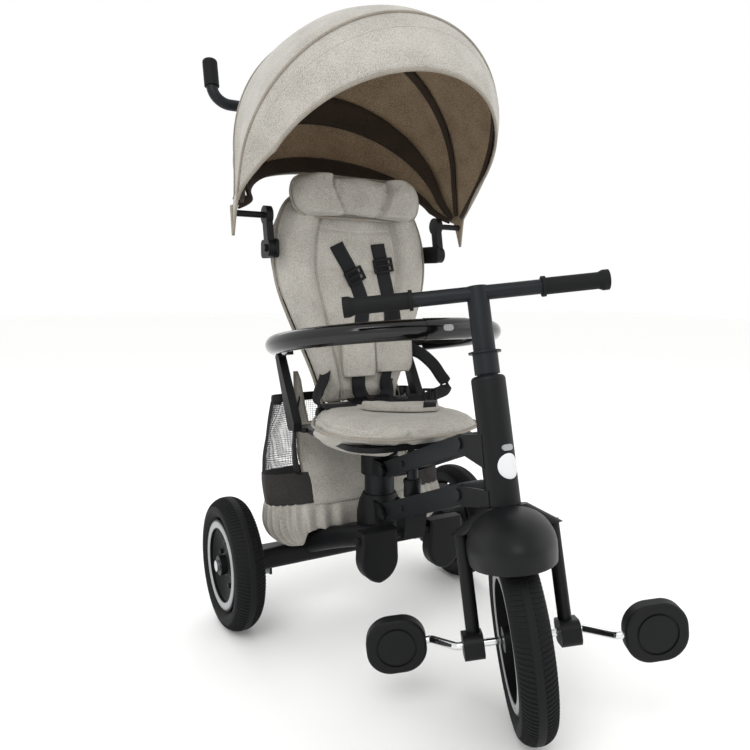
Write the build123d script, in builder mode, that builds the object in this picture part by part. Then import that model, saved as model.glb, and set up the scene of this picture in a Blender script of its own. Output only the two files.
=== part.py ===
from build123d import *
from math import cos, radians, sin, tan
import os

# Children's folding push tricycle. Millimetres, +Z up, the child faces -Y, the origin is on the floor
# in the middle of the overall length. The front fork is modelled turned, as the tricycle is parked.

# Driving dimensions
AXLE_MID_Y = -45.0          # halfway between the two axles
WHEELBASE = 482.0
REAR_TRACK = 444.0          # between the middles of the rear tyres
REAR_RADIUS = 110.0
FRONT_RADIUS = 127.0
RAKE = 14.1                 # lean of the steering axis from upright, degrees
PARKED_STEER = -29.2        # turn of the fork from straight ahead, degrees
RUNNING = 0.05              # radial clearance of a shaft in a hole
GAP = 0.3                   # clearance between neighbouring bodies

FRONT_HUB_Y = AXLE_MID_Y - WHEELBASE / 2
REAR_AXLE_Y = AXLE_MID_Y + WHEELBASE / 2

# Folding frame: two parallel beams between the seat pedestal and the steering head
BEAM_WIDTH = 38.0
BEAM_WALL = 3.0
LOWER_BEAM_HEIGHT = 30.0
UPPER_BEAM_HEIGHT = 26.0
LINK_RISE = 71.0            # upper pivots stand this far above the lower ones
FRONT_PIVOT = (-172.0, 290.0)   # Y, Z of the lower front pivot
REAR_PIVOT = (45.0, 204.0)      # Y, Z of the lower rear pivot
STRUT_Y = -12.0
PIN_RADIUS = 5.0
CHEEK = 4.0                 # thickness of a clevis cheek

# Seat pedestal
POST_Y = 97.0
POST_RADIUS = 25.0
SEAT_Z = 300.0              # top of the post, under the seat

# Steering head and fork, measured along the steering axis from the front hub
CASING_BOTTOM = 169.0
CASING_JOINT = 290.0
CASING_TOP = 339.0
CASING_RADIUS = 23.0
BAR_HEIGHT = 450.0
BAR_HALF = 179.0
BAR_RADIUS = 10.0
LEG_OFFSET = 60.0
LEG_RADIUS = 9.0

# Cranks and pedals
PEDAL_OFFSET = 160.0
CRANK_THROW = 50.0
CRANK_RADIUS = 5.0
CRANK_LEAN = 12.0           # left crank above straight ahead, degrees
PEDAL_WIDTH = 80.0
PEDAL_HEIGHT = 74.0
PEDAL_THICKNESS = 22.0

# Seat and backrest
PAN_Z = 328.0               # underside of the seat pan's rim
PAN_THICKNESS = 8.0
PAD_FRONT_Y = -64.0
PAD_REAR_Y = 156.0
PAD_TOP_Z = 362.0
RECLINE_PIVOT = (188.0, 352.0)  # Y, Z
BACK_FOOT = (162.0, 380.0)      # Y, Z of the reference point on the backrest's front face
BACK_LEAN = 5.4
BACK_DEPTH = 30.0

# Bumper ring
RING_RADIUS = 175.0
RING_TUBE = 15.0
RING_CENTRE = (80.0, 484.3)     # Y, Z
RING_TILT = 9.0
RING_END = 45.0             # how far each end wraps behind the ring's widest point, degrees
RING_SPLIT = -100.0         # angle of the joint between the halves; -90 is the front

# Canopy: hoops turn on one cross axis
HUB_Y = 180.0
HUB_Z = 680.0
ARM_Y = 170.0
ARM_Z = 628.0
COVER_WALL = 4.0

# Push handle
POLE_LEAN = 12.6
POLE_FOOT = (236.0, 168.0)      # Y, Z where the pole leaves the rear axle housing
POLE_LENGTH = 742.0
HANDLE_HALF = 178.0

os.makedirs("parts", exist_ok=True)


STEER_AXIS = Vector(0, sin(radians(RAKE)), cos(radians(RAKE)))
FRONT_HUB = Vector(0, FRONT_HUB_Y, FRONT_RADIUS)
HEAD = Plane(origin=FRONT_HUB, x_dir=(1, 0, 0), z_dir=STEER_AXIS)
# On the fork's own plane X runs along the front axle, Y backwards and Z up the steering axis.
FORK_X = Vector(1, 0, 0).rotate(Axis((0, 0, 0), STEER_AXIS), PARKED_STEER)
FORK = Plane(origin=FRONT_HUB, x_dir=FORK_X, z_dir=STEER_AXIS)


def on_fork(across, back, up):
    return FORK.from_local_coords(Vector(across, back, up))


def side_plane(x):
    """A sketch plane facing +X, whose own axes are the row's Y and Z."""
    return Plane(origin=(x, 0, 0), x_dir=(0, 1, 0), z_dir=(1, 0, 0))


def beam_z(y):
    """Height of the lower beam's centre line."""
    slope = (FRONT_PIVOT[1] - REAR_PIVOT[1]) / (FRONT_PIVOT[0] - REAR_PIVOT[0])
    return REAR_PIVOT[1] + slope * (y - REAR_PIVOT[0])


def save(part, name):
    part.label = name
    export_step(part, f"parts/{name}.step")


def bent_bar(points, radius, bend):
    """A round bar along straight runs joined by bends of one radius."""
    with BuildPart() as bar:
        with BuildLine() as path:
            FilletPolyline(*points, radius=bend)
        with BuildSketch(Plane(origin=path.line @ 0, z_dir=path.line % 0)):
            Circle(radius)
        sweep(path=path.line)
    return bar.part


# ---------------------------------------------------------------- wheels

def wheel_profile(centre, axle):
    """A plane through the axle: X outwards from it, Y along it."""
    outwards = axle.cross(Vector(0, 1, 0)).normalized()
    return Plane(origin=centre, x_dir=outwards, z_dir=outwards.cross(axle))


def tyre(centre, axle, radius, rim_radius, width, name):
    """Foam-filled tyre: an oval tread ring on a bead that sits in the rim's channel."""
    middle = (radius + rim_radius + 4) / 2
    with BuildPart() as ring:
        with BuildSketch(wheel_profile(centre, axle)):
            with Locations((middle, 0)):
                Ellipse(radius - middle, width / 2)
            with Locations((rim_radius + 5, 0)):
                Rectangle(10, width * 0.68)
        revolve(axis=Axis(centre, axle))
    save(ring.part, name)


def rim(centre, axle, rim_radius, width, bore, name):
    """Moulded wheel: hub, dished web and a channel with two flanges."""
    hub_half = width / 2 - 1
    channel_half = width * 0.34 + 0.15
    with BuildPart() as wheel:
        with BuildSketch(wheel_profile(centre, axle)):
            with Locations(((bore + 16) / 2, 0)):
                Rectangle(16 - bore, 2 * hub_half)
            with Locations((rim_radius / 2 + 4, 0)):
                Rectangle(rim_radius - 20, 7)
            with Locations((rim_radius - 5, 0)):
                Rectangle(10, 2 * channel_half + 6)
            for side in (-1, 1):
                with Locations((rim_radius + 2, side * (channel_half + 1.5))):
                    Rectangle(5, 3)
        revolve(axis=Axis(centre, axle))
    save(wheel.part, name)


AXLE_RADIUS = 5.0
FRONT_RIM_RADIUS = 86.0
REAR_RIM_RADIUS = 70.0
tyre(FRONT_HUB, FORK_X, FRONT_RADIUS, FRONT_RIM_RADIUS, 47.0, "front_tyre")
rim(FRONT_HUB, FORK_X, FRONT_RIM_RADIUS, 47.0, AXLE_RADIUS + RUNNING, "front_rim")
for side, name in ((-1, "right"), (1, "left")):
    rear_hub = Vector(side * REAR_TRACK / 2, REAR_AXLE_Y, REAR_RADIUS)
    tyre(rear_hub, Vector(1, 0, 0), REAR_RADIUS, REAR_RIM_RADIUS, 48.0, f"{name}_rear_tyre")
    rim(rear_hub, Vector(1, 0, 0), REAR_RIM_RADIUS, 48.0, AXLE_RADIUS + RUNNING, f"{name}_rear_rim")

# Steel rod through both rear wheels, with a domed nut on each end
with BuildPart() as rear_axle:
    with BuildSketch(side_plane(0)):
        with Locations((REAR_AXLE_Y, REAR_RADIUS)):
            Circle(AXLE_RADIUS)
    extrude(amount=REAR_TRACK / 2 + 26, both=True)
    for side in (-1, 1):
        with BuildSketch(side_plane(side * (REAR_TRACK / 2 + 23.5))):
            with Locations((REAR_AXLE_Y, REAR_RADIUS)):
                Circle(9)
        extrude(amount=side * 4)
save(rear_axle.part, "rear_axle")

# ---------------------------------------------------------------- rear frame and seat pedestal

# The axle housing is a cross tube that widens into a sloping wing, up to the pedestal; lugs under
# its ends carry the brake pedals
HOUSING_HALF = REAR_TRACK / 2 - 25
WING_TOP_Y = 66.0
BRAKE_X = 164.0
BRAKE_PIVOT = (206.0, 82.0)     # Y, Z
BRAKE_PIN = 3.0
with BuildPart() as axle_housing:
    with BuildSketch(side_plane(0)):
        with Locations((REAR_AXLE_Y, REAR_RADIUS)):
            RectangleRounded(44, 36, 12)
    extrude(amount=HOUSING_HALF, both=True)
    with BuildSketch(Plane.XZ.offset(-(REAR_AXLE_Y + 8))):
        with Locations((0, REAR_RADIUS + 4)):
            RectangleRounded(250, 38, 14)
    with BuildSketch(Plane.XZ.offset(-(REAR_AXLE_Y - 50))):
        with Locations((0, 140)):
            RectangleRounded(176, 40, 16)
    with BuildSketch(Plane.XZ.offset(-WING_TOP_Y)):
        with Locations((0, 160)):
            RectangleRounded(84, 36, 16)
    loft()
    for side in (-1, 1):
        for edge in (-1, 1):
            with BuildSketch(side_plane(side * BRAKE_X + edge * (7 + GAP))):
                with Locations((BRAKE_PIVOT[0], BRAKE_PIVOT[1] + 6)):
                    RectangleRounded(16, 28, 3)
            extrude(amount=edge * 3)
        with BuildSketch(side_plane(side * BRAKE_X)):
            with Locations(BRAKE_PIVOT):
                Circle(BRAKE_PIN)
        extrude(amount=7 + GAP + 3, both=True)
    with BuildSketch(side_plane(0)):
        with Locations((REAR_AXLE_Y, REAR_RADIUS)):
            Circle(AXLE_RADIUS + RUNNING)
    extrude(amount=HOUSING_HALF + 10, both=True, mode=Mode.SUBTRACT)
save(axle_housing.part, "axle_housing")

# Bell-shaped pedestal on the wing, with two cheeks for the lower beam's rear pin
PEDESTAL_FOOT = 170.0
PEDESTAL_TOP = 224.0
with BuildPart() as pedestal:
    with BuildSketch(Plane.XZ.offset(-POST_Y)):
        with BuildLine():
            l1 = Line((0, PEDESTAL_FOOT), (38, PEDESTAL_FOOT))
            l2 = Line(l1 @ 1, (38, PEDESTAL_FOOT + 14))
            l3 = TangentArc(l2 @ 1, (28, PEDESTAL_TOP), tangent=(0, 1))
            l4 = Line(l3 @ 1, (0, PEDESTAL_TOP))
            Line(l4 @ 1, l1 @ 0)
        make_face()
    revolve(axis=Axis((0, POST_Y, 0), (0, 0, 1)))
    for side in (-1, 1):
        with BuildSketch(side_plane(side * (BEAM_WIDTH / 2 + 0.5))):
            with BuildLine():
                Polyline(
                    (POST_Y, PEDESTAL_FOOT + 8),
                    (POST_Y, PEDESTAL_TOP - 4),
                    (REAR_PIVOT[0], REAR_PIVOT[1] + 11),
                    (REAR_PIVOT[0] - 11, REAR_PIVOT[1]),
                    (REAR_PIVOT[0], REAR_PIVOT[1] - 11),
                    close=True,
                )
            make_face()
        extrude(amount=side * CHEEK)
    with Locations(Location((0, REAR_PIVOT[0], REAR_PIVOT[1]), (0, 90, 0))):
        Cylinder(PIN_RADIUS, BEAM_WIDTH + 4 * CHEEK, mode=Mode.SUBTRACT)
    with BuildSketch(Plane.XY.offset(PEDESTAL_TOP - 10)):
        with Locations((0, POST_Y)):
            Circle(POST_RADIUS)
    extrude(amount=20, mode=Mode.SUBTRACT)
    add(axle_housing.part, mode=Mode.SUBTRACT)
save(pedestal.part, "pedestal")

# Post that carries the seat, and the collar that clamps it and holds the upper beam
with BuildPart() as seat_post:
    with BuildSketch(Plane.XY.offset(PEDESTAL_TOP - 10)):
        with Locations((0, POST_Y)):
            Circle(POST_RADIUS)
            Circle(POST_RADIUS - 3, mode=Mode.SUBTRACT)
    extrude(amount=SEAT_Z - PEDESTAL_TOP + 10)
save(seat_post.part, "seat_post")

COLLAR_Z = 258.0
UPPER_REAR = (REAR_PIVOT[0], REAR_PIVOT[1] + LINK_RISE)
with BuildPart() as post_collar:
    with BuildSketch(Plane.XY.offset(COLLAR_Z)):
        with Locations((0, POST_Y)):
            Circle(POST_RADIUS + 6)
    extrude(amount=34)
    for side in (-1, 1):
        with BuildSketch(side_plane(side * (BEAM_WIDTH / 2 + 0.5))):
            with BuildLine():
                Polyline(
                    (POST_Y, COLLAR_Z + 3),
                    (POST_Y, COLLAR_Z + 31),
                    (UPPER_REAR[0], UPPER_REAR[1] + 11),
                    (UPPER_REAR[0] - 11, UPPER_REAR[1]),
                    (UPPER_REAR[0], UPPER_REAR[1] - 11),
                    close=True,
                )
            make_face()
        extrude(amount=side * CHEEK)
    with Locations(Location((0, UPPER_REAR[0], UPPER_REAR[1]), (0, 90, 0))):
        Cylinder(PIN_RADIUS, BEAM_WIDTH + 4 * CHEEK, mode=Mode.SUBTRACT)
    with BuildSketch(Plane.XY.offset(COLLAR_Z)):
        with Locations((0, POST_Y)):
            Circle(POST_RADIUS)
    extrude(amount=34, mode=Mode.SUBTRACT)
save(post_collar.part, "post_collar")


def cross_pin(y, z, half):
    """A headed pin across the frame at Y, Z."""
    with BuildPart() as pin:
        with BuildSketch(side_plane(0)):
            with Locations((y, z)):
                Circle(PIN_RADIUS)
        extrude(amount=half, both=True)
        for side in (-1, 1):
            with BuildSketch(side_plane(side * half)):
                with Locations((y, z)):
                    Circle(PIN_RADIUS + 3)
            extrude(amount=side * 3)
    return pin.part


# Two pins held by the pedestal and the collar, two held by the steering head
CLEVIS_HALF = BEAM_WIDTH / 2 + 0.5 + CHEEK
rear_pins = Compound(children=[cross_pin(*REAR_PIVOT, CLEVIS_HALF), cross_pin(*UPPER_REAR, CLEVIS_HALF)])
save(rear_pins, "rear_pivot_pins")
UPPER_FRONT = (FRONT_PIVOT[0], FRONT_PIVOT[1] + LINK_RISE)
front_pins = Compound(children=[cross_pin(*FRONT_PIVOT, CLEVIS_HALF), cross_pin(*UPPER_FRONT, CLEVIS_HALF)])
save(front_pins, "front_pivot_pins")

# ---------------------------------------------------------------- folding beams


def beam(rise, height, name):
    """A box beam between a front and a rear pin, slotted where the strut passes into it."""
    front = (FRONT_PIVOT[0], FRONT_PIVOT[1] + rise)
    rear = (REAR_PIVOT[0], REAR_PIVOT[1] + rise)
    with BuildPart() as bar:
        with BuildSketch(side_plane(0)):
            with BuildLine():
                Line(rear, front)
            trace(line_width=height)
            with Locations(front, rear):
                Circle(height / 2)
        extrude(amount=BEAM_WIDTH / 2, both=True)
        slot_z = beam_z(STRUT_Y) + rise
        with BuildSketch(side_plane(0)):
            with Locations((STRUT_Y, slot_z)):
                Rectangle(76, 3 * height)
        extrude(amount=BEAM_WIDTH / 2 - BEAM_WALL - 1, both=True, mode=Mode.SUBTRACT)
        with BuildSketch(side_plane(0)):
            with Locations(front, rear, (STRUT_Y, slot_z)):
                Circle(PIN_RADIUS + RUNNING)
        extrude(amount=BEAM_WIDTH, both=True, mode=Mode.SUBTRACT)
    save(bar.part, name)


beam(0, LOWER_BEAM_HEIGHT, "lower_beam")
beam(LINK_RISE, UPPER_BEAM_HEIGHT, "upper_beam")

# Strut between the beams: a rod with a cross pin in each end, and a lock sleeve sliding on it
STRUT_RADIUS = 9.0
STRUT_LOW = beam_z(STRUT_Y)
STRUT_HIGH = STRUT_LOW + LINK_RISE
with BuildPart() as fold_strut:
    with BuildSketch(Plane.XY.offset(STRUT_LOW - 9)):
        with Locations((0, STRUT_Y)):
            Circle(STRUT_RADIUS)
    extrude(amount=LINK_RISE + 18)
    for z in (STRUT_LOW, STRUT_HIGH):
        with BuildSketch(side_plane(0)):
            with Locations((STRUT_Y, z)):
                Circle(PIN_RADIUS)
        extrude(amount=BEAM_WIDTH / 2 + 2, both=True)
save(fold_strut.part, "fold_strut")

SLEEVE_Z = STRUT_LOW + 17
with BuildPart() as strut_sleeve:
    with BuildSketch(Plane.XY.offset(SLEEVE_Z)):
        with Locations((0, STRUT_Y)):
            Circle(STRUT_RADIUS + 4.5)
            Circle(STRUT_RADIUS + RUNNING, mode=Mode.SUBTRACT)
    extrude(amount=28)
    with BuildSketch(Plane.XY.offset(SLEEVE_Z + 22)):
        with Locations((0, STRUT_Y)):
            Circle(STRUT_RADIUS + 5.5)
            Circle(STRUT_RADIUS + 2, mode=Mode.SUBTRACT)
    extrude(amount=4)
save(strut_sleeve.part, "strut_sleeve")

# Footrests hang on one cross shaft below the lower beam and swing forward
FOOT_Y = -10.0
FOOT_Z = 186.0
FOOT_X = 60.0
FOOT_SHAFT = 6.0
BEAM_SLOPE = (FRONT_PIVOT[1] - REAR_PIVOT[1]) / (REAR_PIVOT[0] - FRONT_PIVOT[0])
BEAM_DROP = LOWER_BEAM_HEIGHT / 2 * (1 + BEAM_SLOPE**2) ** 0.5
with BuildPart() as footrest_shaft:
    with BuildSketch(side_plane(0)):
        with Locations((FOOT_Y, FOOT_Z)):
            Circle(FOOT_SHAFT)
    extrude(amount=FOOT_X + 36, both=True)
    with BuildSketch(side_plane(0)):
        with BuildLine():
            Polyline(
                (FOOT_Y - 16, beam_z(FOOT_Y - 16) - BEAM_DROP),
                (FOOT_Y + 16, beam_z(FOOT_Y + 16) - BEAM_DROP),
                (FOOT_Y + 9, FOOT_Z - 9),
                (FOOT_Y - 9, FOOT_Z - 9),
                close=True,
            )
        make_face()
    extrude(amount=BEAM_WIDTH / 2, both=True)
save(footrest_shaft.part, "footrest_shaft")


def footrest(side):
    """A rounded plate with a dished face, hung on the shaft by its top edge."""
    with BuildPart() as plate:
        with BuildSketch(Plane.XZ.offset(-(FOOT_Y - 11))):
            with BuildLine():
                l1 = Line((FOOT_X - 30, FOOT_Z + 14), (FOOT_X + 30, FOOT_Z + 14))
                l2 = Line(l1 @ 1, (FOOT_X + 32, FOOT_Z - 30))
                l3 = TangentArc(l2 @ 1, (FOOT_X, FOOT_Z - 70), tangent=(0, -1))
                l4 = ThreePointArc(l3 @ 1, (FOOT_X - 22, FOOT_Z - 59), (FOOT_X - 32, FOOT_Z - 30))
                Line(l4 @ 1, l1 @ 0)
            make_face()
        extrude(amount=-22)
        fillet(plate.faces().sort_by(Axis.Y)[0].edges(), 5)
        with BuildSketch(side_plane(0)):
            with Locations((FOOT_Y, FOOT_Z)):
                Circle(FOOT_SHAFT + RUNNING)
        extrude(amount=FOOT_X + 50, mode=Mode.SUBTRACT)
    part = plate.part
    return part if side > 0 else part.mirror(Plane.YZ)


save(footrest(-1), "right_footrest")
save(footrest(1), "left_footrest")

# ---------------------------------------------------------------- steering head

# Release button on the front of the casing
BUTTON_UP = 243.0
button_seat = Plane(
    origin=HEAD.from_local_coords(Vector(0, 4 - CASING_RADIUS, BUTTON_UP)),
    x_dir=(1, 0, 0),
    z_dir=HEAD.y_dir * -1,
)
with BuildPart() as head_button:
    with BuildSketch(button_seat):
        SlotOverall(16, 8)
    extrude(amount=5)
save(head_button.part, "head_button")

# Casing with its own rear cheeks; the stem turns in its bore
STEM_RADIUS = 14.0
with BuildPart() as head_casing:
    with BuildSketch(HEAD.offset(CASING_BOTTOM)):
        Circle(CASING_RADIUS - 0.5)
    with BuildSketch(HEAD.offset(CASING_JOINT)):
        Circle(CASING_RADIUS)
    loft()
    for z in (FRONT_PIVOT[1], UPPER_FRONT[1]):
        for side in (-1, 1):
            with BuildSketch(side_plane(side * (BEAM_WIDTH / 2 + 0.5))):
                with BuildLine():
                    Polyline(
                        (FRONT_PIVOT[0] + 12, z),
                        (FRONT_PIVOT[0], z + 12),
                        (FRONT_HUB_Y + tan(radians(RAKE)) * (z - FRONT_RADIUS) + 4, z + 22),
                        (FRONT_HUB_Y + tan(radians(RAKE)) * (z - FRONT_RADIUS) - 4, z - 22),
                        (FRONT_PIVOT[0], z - 12),
                        close=True,
                    )
                make_face()
            extrude(amount=side * CHEEK)
    with BuildSketch(side_plane(0)):
        with Locations(FRONT_PIVOT, UPPER_FRONT):
            Circle(PIN_RADIUS)
    extrude(amount=BEAM_WIDTH, both=True, mode=Mode.SUBTRACT)
    with BuildSketch(HEAD.offset(CASING_BOTTOM - 20)):
        Circle(STEM_RADIUS + RUNNING)
    extrude(amount=CASING_TOP, mode=Mode.SUBTRACT)
    with BuildSketch(button_seat.offset(-2.3)):
        SlotOverall(16 + 2 * GAP, 8 + 2 * GAP)
    extrude(amount=12, mode=Mode.SUBTRACT)
    split(bisect_by=HEAD.offset(CASING_JOINT), keep=Keep.BOTTOM)
    split(bisect_by=HEAD.offset(CASING_BOTTOM), keep=Keep.TOP)
save(head_casing.part, "head_casing")

# Upper casing: a sleeve with a rounded shoulder
with BuildPart() as head_shoulder:
    with BuildSketch(HEAD.offset(CASING_JOINT)):
        Circle(CASING_RADIUS)
    extrude(amount=CASING_TOP - CASING_JOINT)
    fillet(head_shoulder.edges().filter_by(GeomType.CIRCLE).sort_by(Axis.Z)[-1], 6)
    with BuildSketch(HEAD.offset(CASING_JOINT)):
        Circle(STEM_RADIUS + RUNNING)
    extrude(amount=CASING_TOP, mode=Mode.SUBTRACT)
    for side in (-1, 1):
        with BuildSketch(side_plane(side * (BEAM_WIDTH / 2 + 0.5))):
            with Locations(UPPER_FRONT):
                Rectangle(120, 70)
        extrude(amount=side * (CHEEK + 1), mode=Mode.SUBTRACT)
save(head_shoulder.part, "head_shoulder")

# ---------------------------------------------------------------- fork and handlebar

CROWN_BOTTOM = 140.0
CROWN_TOP = CASING_BOTTOM - 0.5
with BuildPart() as stem:
    with BuildSketch(FORK.offset(CROWN_TOP)):
        Circle(STEM_RADIUS)
    extrude(amount=CASING_TOP - CROWN_TOP + 2)
    with BuildSketch(FORK.offset(CASING_TOP + 2)):
        Circle(17)
    extrude(amount=28)
    with BuildSketch(FORK.offset(CASING_TOP + 30)):
        Ellipse(15, 13)
    extrude(amount=BAR_HEIGHT - CASING_TOP - 30 + BAR_RADIUS - 1)
    with BuildSketch(Plane(origin=on_fork(0, 0, BAR_HEIGHT), x_dir=STEER_AXIS, z_dir=FORK_X)):
        Circle(BAR_RADIUS)
    extrude(amount=40, both=True, mode=Mode.SUBTRACT)
save(stem.part, "stem")

# Thin spring clip round the stem above its shoulder
CLIP_UP = CASING_TOP + 30
with BuildPart() as clip_collar:
    with BuildSketch(FORK.offset(CLIP_UP)):
        Ellipse(22, 20)
        Ellipse(15.2, 13.2, mode=Mode.SUBTRACT)
    extrude(amount=2.5)
save(clip_collar.part, "clip_collar")

GRIP_LENGTH = 92.0
with BuildPart() as handlebar:
    with BuildSketch(Plane(origin=on_fork(0, 0, BAR_HEIGHT), x_dir=STEER_AXIS, z_dir=FORK_X)):
        Circle(BAR_RADIUS)
    extrude(amount=BAR_HALF - 4, both=True)
save(handlebar.part, "handlebar")


def grip(side):
    """Rubber grip: closed flared end, plain body and an inner flange."""
    bar_end = Plane(
        origin=on_fork(side * BAR_HALF, 0, BAR_HEIGHT),
        x_dir=STEER_AXIS,
        z_dir=FORK_X.cross(STEER_AXIS) * side,
    )
    with BuildPart() as rubber:
        with BuildSketch(bar_end):
            with BuildLine():
                Polyline(
                    (0, 0),
                    (14, 0),
                    (14, 8),
                    (11.5, 14),
                    (11.5, GRIP_LENGTH - 5),
                    (14, GRIP_LENGTH - 5),
                    (14, GRIP_LENGTH),
                    (0, GRIP_LENGTH),
                    close=True,
                )
            make_face()
        revolve(axis=Axis(bar_end.origin, FORK_X))
        with BuildSketch(Plane(origin=on_fork(0, 0, BAR_HEIGHT), x_dir=STEER_AXIS, z_dir=FORK_X)):
            Circle(BAR_RADIUS)
        extrude(amount=BAR_HALF - 4, both=True, mode=Mode.SUBTRACT)
    return rubber.part


save(Compound(children=[grip(-1), grip(1)]), "handlebar_grips")

# Fork: a crown bridges the wheel and both legs hang from it
HUB_COVER_TOP = 16.0
with BuildPart() as fork:
    with BuildSketch(FORK.offset(CROWN_BOTTOM)):
        RectangleRounded(2 * LEG_OFFSET + 26, 40, 16)
    with BuildSketch(FORK.offset(CROWN_TOP)):
        RectangleRounded(62, 38, 16)
    loft()
    for side in (-1, 1):
        with BuildSketch(FORK.offset(HUB_COVER_TOP)):
            with Locations((side * LEG_OFFSET, 0)):
                Circle(LEG_RADIUS)
        extrude(amount=CROWN_BOTTOM - HUB_COVER_TOP + 4)
save(fork.part, "fork")

# Covers over the front axle's ends
COVER_INNER = 49.0
COVER_OUTER = 75.0
with BuildPart() as hub_covers:
    for side in (-1, 1):
        middle = side * (COVER_INNER + COVER_OUTER) / 2
        with BuildSketch(Plane(origin=on_fork(middle, 0, 0), x_dir=STEER_AXIS, z_dir=FORK_X)):
            with Locations((0, 2)):
                RectangleRounded(2 * HUB_COVER_TOP, 46, 12)
        extrude(amount=(COVER_OUTER - COVER_INNER) / 2, both=True)
    with BuildSketch(Plane(origin=FRONT_HUB, x_dir=STEER_AXIS, z_dir=FORK_X)):
        Circle(CRANK_RADIUS + RUNNING)
    extrude(amount=COVER_OUTER + 5, both=True, mode=Mode.SUBTRACT)
save(hub_covers.part, "hub_covers")

# Front mudguard: a helmet-shaped shell ahead of the crown
GUARD_INNER = 136.0
GUARD_WALL = 3.0
GUARD_HALF = 55.0
FORK_FRONT = Plane(origin=FRONT_HUB, x_dir=on_fork(0, -1, 0) - FRONT_HUB, z_dir=FORK_X)
with BuildPart() as front_fender:
    with BuildSketch(FORK_FRONT):
        with BuildLine():
            outer = CenterArc((0, 0), GUARD_INNER + GUARD_WALL, -78, 62)
            inner = CenterArc((0, 0), GUARD_INNER, -78, 62)
            Line(outer @ 0, inner @ 0)
            Line(outer @ 1, inner @ 1)
        make_face()
    extrude(amount=GUARD_HALF, both=True)
save(front_fender.part, "front_fender")

# ---------------------------------------------------------------- crank and pedals

LEAN = radians(CRANK_LEAN)
LEVEL_AHEAD = FORK_X.cross(Vector(0, 0, 1)).normalized()
SQUARE_UP = LEVEL_AHEAD.cross(FORK_X)
THROW = (LEVEL_AHEAD * cos(LEAN) + SQUARE_UP * sin(LEAN)) * CRANK_THROW


def crank_point(across, throw):
    return FRONT_HUB + FORK_X * across + THROW * throw


PEDAL_INNER = PEDAL_OFFSET - PEDAL_WIDTH / 2
SPINDLE_END = PEDAL_OFFSET + PEDAL_WIDTH / 2 - 6
crank_path = [
    crank_point(-SPINDLE_END, -1),
    crank_point(-PEDAL_INNER + 7, -1),
    crank_point(-COVER_OUTER - 8, 0),
    crank_point(COVER_OUTER + 8, 0),
    crank_point(PEDAL_INNER - 7, 1),
    crank_point(SPINDLE_END, 1),
]
save(bent_bar(crank_path, CRANK_RADIUS, 7), "crank")


def pedal(side):
    """Plastic pedal: a rounded block with a raised rim and a round pad on each face."""
    centre = crank_point(side * PEDAL_OFFSET, side)
    face = Plane(origin=centre, x_dir=FORK_X, z_dir=LEVEL_AHEAD)
    with BuildPart() as block:
        with BuildSketch(face):
            RectangleRounded(PEDAL_WIDTH, PEDAL_HEIGHT, 32)
        extrude(amount=PEDAL_THICKNESS / 2, both=True)
        fillet(block.faces().group_by(SortBy.AREA)[-1].edges(), 4)
        for way in (-1, 1):
            groove_floor = centre + LEVEL_AHEAD * way * (PEDAL_THICKNESS / 2 - 2)
            rim_face = Plane(origin=groove_floor, x_dir=FORK_X, z_dir=LEVEL_AHEAD * way)
            with BuildSketch(rim_face):
                Circle(27)
                Circle(24, mode=Mode.SUBTRACT)
            extrude(amount=5, mode=Mode.SUBTRACT)
        inner_end = centre - FORK_X * side * (PEDAL_WIDTH / 2 + 5)
        with BuildSketch(Plane(origin=inner_end, x_dir=LEVEL_AHEAD, z_dir=FORK_X * side)):
            Circle(CRANK_RADIUS + RUNNING)
        extrude(amount=PEDAL_WIDTH, mode=Mode.SUBTRACT)
    return block.part


save(pedal(-1), "right_pedal")
save(pedal(1), "left_pedal")

# ---------------------------------------------------------------- brakes

def brake_pedal(side):
    """Foot lever behind the axle, with a flat pad for the shoe."""
    with BuildPart() as lever:
        with BuildSketch(side_plane(side * BRAKE_X)):
            with BuildLine():
                Line(BRAKE_PIVOT, (BRAKE_PIVOT[0] + 30, BRAKE_PIVOT[1] - 6))
            trace(line_width=10)
            with Locations(BRAKE_PIVOT):
                Circle(7)
        extrude(amount=7, both=True)
        with BuildSketch(side_plane(side * BRAKE_X)):
            with Locations((BRAKE_PIVOT[0] + 34, BRAKE_PIVOT[1] - 7)):
                RectangleRounded(26, 6, 2.5)
        extrude(amount=15, both=True)
        with BuildSketch(side_plane(side * BRAKE_X)):
            with Locations(BRAKE_PIVOT):
                Circle(BRAKE_PIN + RUNNING)
        extrude(amount=20, both=True, mode=Mode.SUBTRACT)
    return lever.part


save(brake_pedal(-1), "right_brake_pedal")
save(brake_pedal(1), "left_brake_pedal")

# ---------------------------------------------------------------- seat

# Pan on a boss over the post, with hinge lugs for the backrest behind it
PAN_HALF = 112.0
LUG_X = 62.0
with BuildPart() as seat_pan:
    with BuildSketch(Plane.XY.offset(PAN_Z)):
        with Locations((0, (PAD_FRONT_Y + 14 + 176) / 2)):
            RectangleRounded(2 * PAN_HALF, 176 - PAD_FRONT_Y - 14, 50)
        with Locations((0, 160)):
            RectangleRounded(236, 32, 8)
    extrude(amount=PAN_THICKNESS)
    with BuildSketch(Plane.XY.offset(SEAT_Z)):
        with Locations((0, POST_Y)):
            RectangleRounded(96, 78, 20)
    extrude(amount=PAN_Z - SEAT_Z)
    for side in (-1, 1):
        for edge in (-1, 1):
            with BuildSketch(side_plane(side * LUG_X + edge * (6 + GAP))):
                with BuildLine():
                    Polyline((166, PAN_Z), (184, PAN_Z), (196, 348), (191, 360), (182, 360), close=True)
                make_face()
            extrude(amount=edge * 5)
        with BuildSketch(side_plane(side * LUG_X)):
            with Locations(RECLINE_PIVOT):
                Circle(4)
        extrude(amount=11 + GAP, both=True)
save(seat_pan.part, "seat_pan")

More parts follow.
